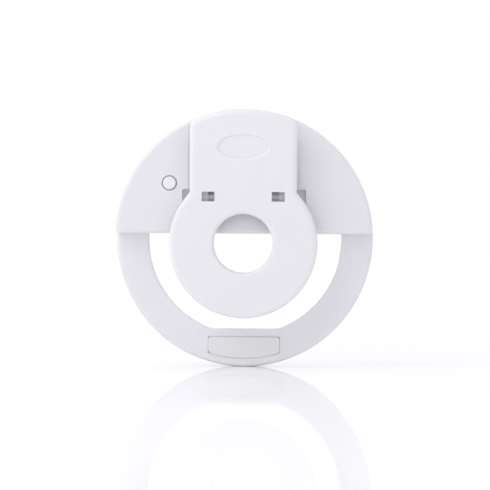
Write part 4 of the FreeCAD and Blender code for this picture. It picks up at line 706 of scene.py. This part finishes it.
def makeButton(look):
    # The cap, its flange and its stem are turned as one piece.
    steps = look["steps"]
    profile = []
    for i in range(steps + 1):
        share = i / steps
        profile.append((look["dishRadius"] * share, look["face"] + look["dish"] * (1 - share ** 2)))
    middle, level = look["radius"] - look["rounding"], look["face"] + look["rounding"]
    for i in range(steps + 1):
        turn = math.radians(90 * i / steps)
        out, back = look["rounding"] * math.sin(turn), look["rounding"] * math.cos(turn)
        profile.append((middle + out, level - back))
    profile += [
        (look["radius"], look["flangeBack"]), (look["flangeRadius"], look["flangeBack"]),
        (look["flangeRadius"], look["flangeFront"]), (look["stemRadius"], look["flangeFront"]),
        (look["stemRadius"], look["stemEnd"]), (0, look["stemEnd"]),
    ]
    cap = turned("powerButtonCap", profile, buttonAbs, look["segments"])
    cap.data.transform(Matrix.Translation(Vector((look["x"], 0, look["z"])) * mm))
    smoothOver(cap)
    seatPiece(cap, "power_button", "button_plastic", "button_cap")


makeButton(buttonCap)

print("stage: lamps and cover")

cover = {"inner": 33.65, "outer": 40.85, "back": 6.3, "edge": 7.9, "crown": 0.6, "steps": 20, "segments": 192}
lampRing = {
    "count": 36, "circle": 37.25, "seat": 4.8, "length": 3.5, "width": 2.8, "height": 0.8,
    "gelLength": 2.4, "gelWidth": 2.0, "gelProud": 0.04, "terminal": 0.12, "frameHeight": 0.3,
    "frameShare": 0.8,  # the frame's width, as a share of the cup's
    "frameEdge": 0.03, "cupEdge": 0.08, "gelEdge": 0.03,
}
resistorRing = {
    "count": 12, "length": 1.6, "width": 0.8, "height": 0.5, "cap": 0.3, "coat": 0.02,
    "endEdge": 0.04, "coatEdge": 0.02,
}


def makeCover(look):
    width = look["outer"] - look["inner"]
    bow = (width ** 2 / 4 + look["crown"] ** 2) / (2 * look["crown"])
    middle = (look["outer"] + look["inner"]) / 2
    profile = [(look["inner"], look["back"]), (look["outer"], look["back"])]
    for i in range(look["steps"] + 1):
        x = width / 2 - width * i / look["steps"]
        profile.append((middle + x, look["edge"] + look["crown"] - bow + math.sqrt(bow ** 2 - x ** 2)))
    piece = turned("frostedCover", profile, frostedCover, look["segments"])
    smoothOver(piece)
    seatPiece(piece, "light_body", "diffuser_plastic", "light_diffuser")


def groupInput(tree, name, kind, value):
    socket = tree.interface.new_socket(name, in_out="INPUT", socket_type=kind)
    socket.default_value = value
    return socket


def along(tree, axis, amount):
    return addNode(tree, "ShaderNodeCombineXYZ", {axis: amount}).outputs[0]


def moved(tree, geometry, how, amount):
    return addNode(tree, "GeometryNodeTransform", {"Geometry": geometry, how: amount}).outputs[0]


def endTree(tree, geometry, material):
    # Every tree gives real faces with their material on them.
    tree.interface.new_socket("Geometry", in_out="OUTPUT", socket_type="NodeSocketGeometry")
    real = addNode(tree, "GeometryNodeRealizeInstances", {0: geometry})
    painted = addNode(tree, "GeometryNodeSetMaterial", {"Geometry": real.outputs[0], "Material": material})
    addNode(tree, "NodeGroupOutput", {0: painted.outputs[0]})


def ringOfBlocks(name, material, size, height, edge, count, firstTurn):
    # One small block is repeated round the lamp board and its edges are eased.
    tree = bpy.data.node_groups.new(name, "GeometryNodeTree")
    values = [
        ("Count", "NodeSocketInt", count),
        ("Circle radius", "NodeSocketFloat", lampRing["circle"] * mm),
        ("Seat", "NodeSocketFloat", lampRing["seat"] * mm),
        ("First turn", "NodeSocketFloat", firstTurn),
        ("Block size", "NodeSocketVector", Vector(size) * mm),
        ("Block height", "NodeSocketFloat", height * mm),
    ]
    sockets = [groupInput(tree, label, kind, value) for label, kind, value in values]
    given = addNode(tree, "NodeGroupInput")
    ring = addNode(tree, "GeometryNodeMeshCircle", {
        "Vertices": given.outputs["Count"], "Radius": given.outputs["Circle radius"],
    })
    position = addNode(tree, "GeometryNodeInputPosition")
    parts = addNode(tree, "ShaderNodeSeparateXYZ", {0: position.outputs[0]})
    angle = calculate(tree, "ARCTAN2", parts.outputs["Y"], parts.outputs["X"])
    cube = addNode(tree, "GeometryNodeMeshCube", {"Size": given.outputs["Block size"]})
    rise = along(tree, "Z", given.outputs["Block height"])
    copies = addNode(tree, "GeometryNodeInstanceOnPoints", {
        "Points": ring.outputs["Mesh"],
        "Instance": moved(tree, cube.outputs["Mesh"], "Translation", rise),
        "Rotation": along(tree, "Z", angle),
    })
    # The ring is drawn flat about Z, then stood up so that its axis lies along Y.
    spun = moved(tree, copies.outputs[0], "Rotation", along(tree, "Z", given.outputs["First turn"]))
    stood = moved(tree, spun, "Rotation", (-math.pi / 2, 0, 0))
    seated = moved(tree, stood, "Translation", along(tree, "Y", given.outputs["Seat"]))
    endTree(tree, seated, material)

    piece = newPiece(name, bpy.data.meshes.new(name), material)
    maker = piece.modifiers.new("ring", "NODES")
    maker.node_group = tree
    for socket, (label, kind, value) in zip(sockets, values):
        maker[socket.identifier] = value
    eased = piece.modifiers.new("edges", "BEVEL")
    eased.width = edge * mm
    eased.segments = 1
    applyModifiers(piece)
    return piece


def makeLampBoardParts(look, small):
    # Each lamp has a metal frame that ends in two terminals, a moulded cup and a window of gel.
    count, turn = look["count"], math.pi / look["count"]
    frame = (look["length"], look["width"] * look["frameShare"], look["frameHeight"])
    cup = (look["length"] - 2 * look["terminal"], look["width"], look["height"] - look["gelProud"])
    gel = (look["gelLength"], look["gelWidth"], 2 * look["gelProud"])
    frames = ringOfBlocks("lampFrames", tinPlate, frame, frame[2] / 2, look["frameEdge"], count, turn)
    cups = ringOfBlocks("lampCups", lampPackage, cup, cup[2] / 2, look["cupEdge"], count, turn)
    gels = ringOfBlocks("lampGels", phosphorGel, gel, cup[2], look["gelEdge"], count, turn)
    seatPiece(cups, "light_body", "lamp_body", "led_chips")
    seatPiece(frames, "light_body", "lamp_body")
    seatPiece(gels, "light_body", "lamp_body")
    # Each resistor has plated ends and a dark coat over its middle.
    count, turn = small["count"], 2 * math.pi / look["count"]
    whole = (small["length"], small["width"], small["height"] - small["coat"])
    middle = (small["length"] - 2 * small["cap"], small["width"] + small["coat"], small["height"])
    ends = ringOfBlocks("resistorEnds", tinPlate, whole, whole[2] / 2, small["endEdge"], count, turn)
    coats = ringOfBlocks("resistorCoats", resistorCoat, middle, middle[2] / 2, small["coatEdge"], count, turn)
    seatPiece(coats, "light_body", "resistor_ceramic", "led_resistors")
    seatPiece(ends, "light_body", "resistor_ceramic")


makeCover(cover)
makeLampBoardParts(lampRing, resistorRing)

print("stage: hinge")

spring = {
    "coil": 2.1, "wire": 0.45, "pitch": 1.45, "turns": 6, "fixedLeg": 12.0, "movingLeg": 12.0,
    "standoff": 3.4, "legGap": 0.3, "turnSteps": 30, "legSteps": 12, "wireSides": 20,
}


def springPath(look):
    # The middle of the wire: one leg, the coil about the pin, and the other leg.
    spread = look["standoff"] - look["legGap"] - look["wire"] - look["coil"]
    last = 360 * look["turns"] + 180 - hinge["lean"] - math.degrees(math.asin(spread / look["movingLeg"]))
    length = look["pitch"] * last / 360
    rise = look["pitch"] / (2 * math.pi)

    def onCoil(angle):
        turn = math.radians(angle)
        return Vector((
            look["pitch"] * angle / 360 - length / 2,
            hinge["y"] + look["coil"] * math.cos(turn),
            hinge["z"] - look["coil"] * math.sin(turn),
        ))

    def way(angle):
        turn = math.radians(angle)
        return Vector((rise, -look["coil"] * math.sin(turn), -look["coil"] * math.cos(turn))).normalized()

    steps, legSteps = look["turnSteps"] * look["turns"], look["legSteps"]
    points = [onCoil(0) - way(0) * look["fixedLeg"] * (1 - i / legSteps) for i in range(legSteps)]
    points += [onCoil(last * i / steps) for i in range(steps + 1)]
    points += [onCoil(last) + way(last) * look["movingLeg"] * i / legSteps for i in range(1, legSteps + 1)]
    return points


def makeSpring(look):
    points = springPath(look)
    path = bpy.data.meshes.new("clipSpringPath")
    path.from_pydata([p * mm for p in points], [(i, i + 1) for i in range(len(points) - 1)], [])
    piece = newPiece("clipSpring", path, springSteel)
    tree = bpy.data.node_groups.new("wireSweep", "GeometryNodeTree")
    tree.interface.new_socket("Geometry", in_out="INPUT", socket_type="NodeSocketGeometry")
    wire = groupInput(tree, "Wire radius", "NodeSocketFloat", look["wire"] * mm)
    given = addNode(tree, "NodeGroupInput")
    line = addNode(tree, "GeometryNodeMeshToCurve", {0: given.outputs["Geometry"]})
    ring = addNode(tree, "GeometryNodeCurvePrimitiveCircle", {
        "Resolution": look["wireSides"], "Radius": given.outputs["Wire radius"],
    })
    tube = addNode(tree, "GeometryNodeCurveToMesh", {
        "Curve": line.outputs[0], "Profile Curve": ring.outputs["Curve"], "Fill Caps": True,
    })
    endTree(tree, tube.outputs[0], springSteel)
    maker = piece.modifiers.new("sweep", "NODES")
    maker.node_group = tree
    maker[wire.identifier] = look["wire"] * mm
    applyModifiers(piece)
    smoothOver(piece)
    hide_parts("clip_spring")
    reach = Vector((0, hinge["y"] * mm, hinge["z"] * mm))
    across = Vector((0, look["coil"] * mm, 0))
    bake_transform(piece, "light_body", "clip", start=reach + across, end=reach - across)


makeSpring(spring)

print("stage: leads and tape")

leads = {
    "radius": 0.5, "sideSteps": 6, "lengthSteps": 12, "order": 3, "mergeGap": 0.001,
    # from the cell's guard board down to the main board, for the middle between the two leads
    "battery": [
        (-13.8, -2.4, 27.807), (-17.4, -2.4, 27.807), (-21.6, -2.7, 25.507),
        (-25.4, -3.75, 21.601), (-28.2, -3.75, 18.901), (-28.2, -1.0, 18.901),
    ],
    "batterySpread": 0.8,
    "lampX": -35.221, "lampY": (0.0, 4.0), "lampZ": (11.327, 12.927), "lampSteps": 3,
}
cellTape = {
    "halfWidth": 11.0, "y": (-5.7, -4.9), "z": (21.8, 33.814), "corner": 0.4, "rounding": 0.2, "crown": 0.0,
    "steps": 12,
}


def leadTube(name, routes, look):
    # Soft wire bends in one smooth line that passes near the route's points.
    curve = bpy.data.curves.new(name, "CURVE")
    curve.dimensions = "3D"
    curve.bevel_depth = look["radius"] * mm
    curve.bevel_resolution = look["sideSteps"]
    curve.use_fill_caps = True
    curve.resolution_u = look["lengthSteps"]
    for route in routes:
        line = curve.splines.new("NURBS")
        line.points.add(len(route) - 1)
        for point, place in zip(line.points, route):
            point.co = (*(Vector(place) * mm), 1.0)
        line.order_u = look["order"]
        line.use_endpoint_u = True
    holder = bpy.data.objects.new(name + "Curve", curve)
    scene.collection.objects.link(holder)
    graph = bpy.context.evaluated_depsgraph_get()
    work = bmesh.new()
    work.from_mesh(bpy.data.meshes.new_from_object(holder.evaluated_get(graph), depsgraph=graph))
    bpy.data.objects.remove(holder)
    bmesh.ops.remove_doubles(work, verts=work.verts, dist=look["mergeGap"] * mm)
    bmesh.ops.recalc_face_normals(work, faces=work.faces)
    piece = newPiece(name, meshFrom(work, name), softPvc)
    smoothOver(piece, meshTools["softAngle"])
    return piece


def makeLeads(look):
    shift = Vector((0, 0, look["batterySpread"]))
    routes = [[Vector(p) + shift * side for p in look["battery"]] for side in (-1, 1)]
    battery = leadTube("batteryLeads", routes, look)
    seatPiece(battery, "light_body", "lead_insulation", "battery_leads")
    near, far = look["lampY"]
    steps = look["lampSteps"]
    levels = [near + (far - near) * i / steps for i in range(steps + 1)]
    routes = [[(look["lampX"], y, z) for y in levels] for z in look["lampZ"]]
    lamp = leadTube("lampLeads", routes, look)
    seatPiece(lamp, "light_body", "lead_insulation", "led_leads")


def makeCellTape(look):
    low, high = look["z"]
    form = dict(look, face=look["y"][0], back=look["y"][1])
    tape = softPad("cellTape", form, high - low, 2 * look["halfWidth"],
                   lambda p, q: (q - look["halfWidth"], low + p), foamTape)
    smoothOver(tape, meshTools["softAngle"])
    seatPiece(tape, "light_body", "foam_tape", "battery_tape")


makeLeads(leads)
makeCellTape(cellTape)

print("stage: CAD nodes that stay")

kept = {
    "hinge_pin": pinSteel, "casing_screws": screwSteel, "board_screws": screwSteel, "led_board": whiteBoard,
    "main_board": greenBoard, "controller_chip": mouldedEpoxy, "board_passives": mouldedEpoxy,
    "charge_lamp": redEpoxy, "usb_socket_shell": socketSteel, "usb_contact_tongue": blackNylon,
    "switch_housing": blackNylon, "switch_plunger": blackNylon, "battery_cell": cellFoil,
    "battery_guard_board": greenBoard,
}
for nodeName, material in kept.items():
    for place in nodes[nodeName].material_slots:
        place.material = material
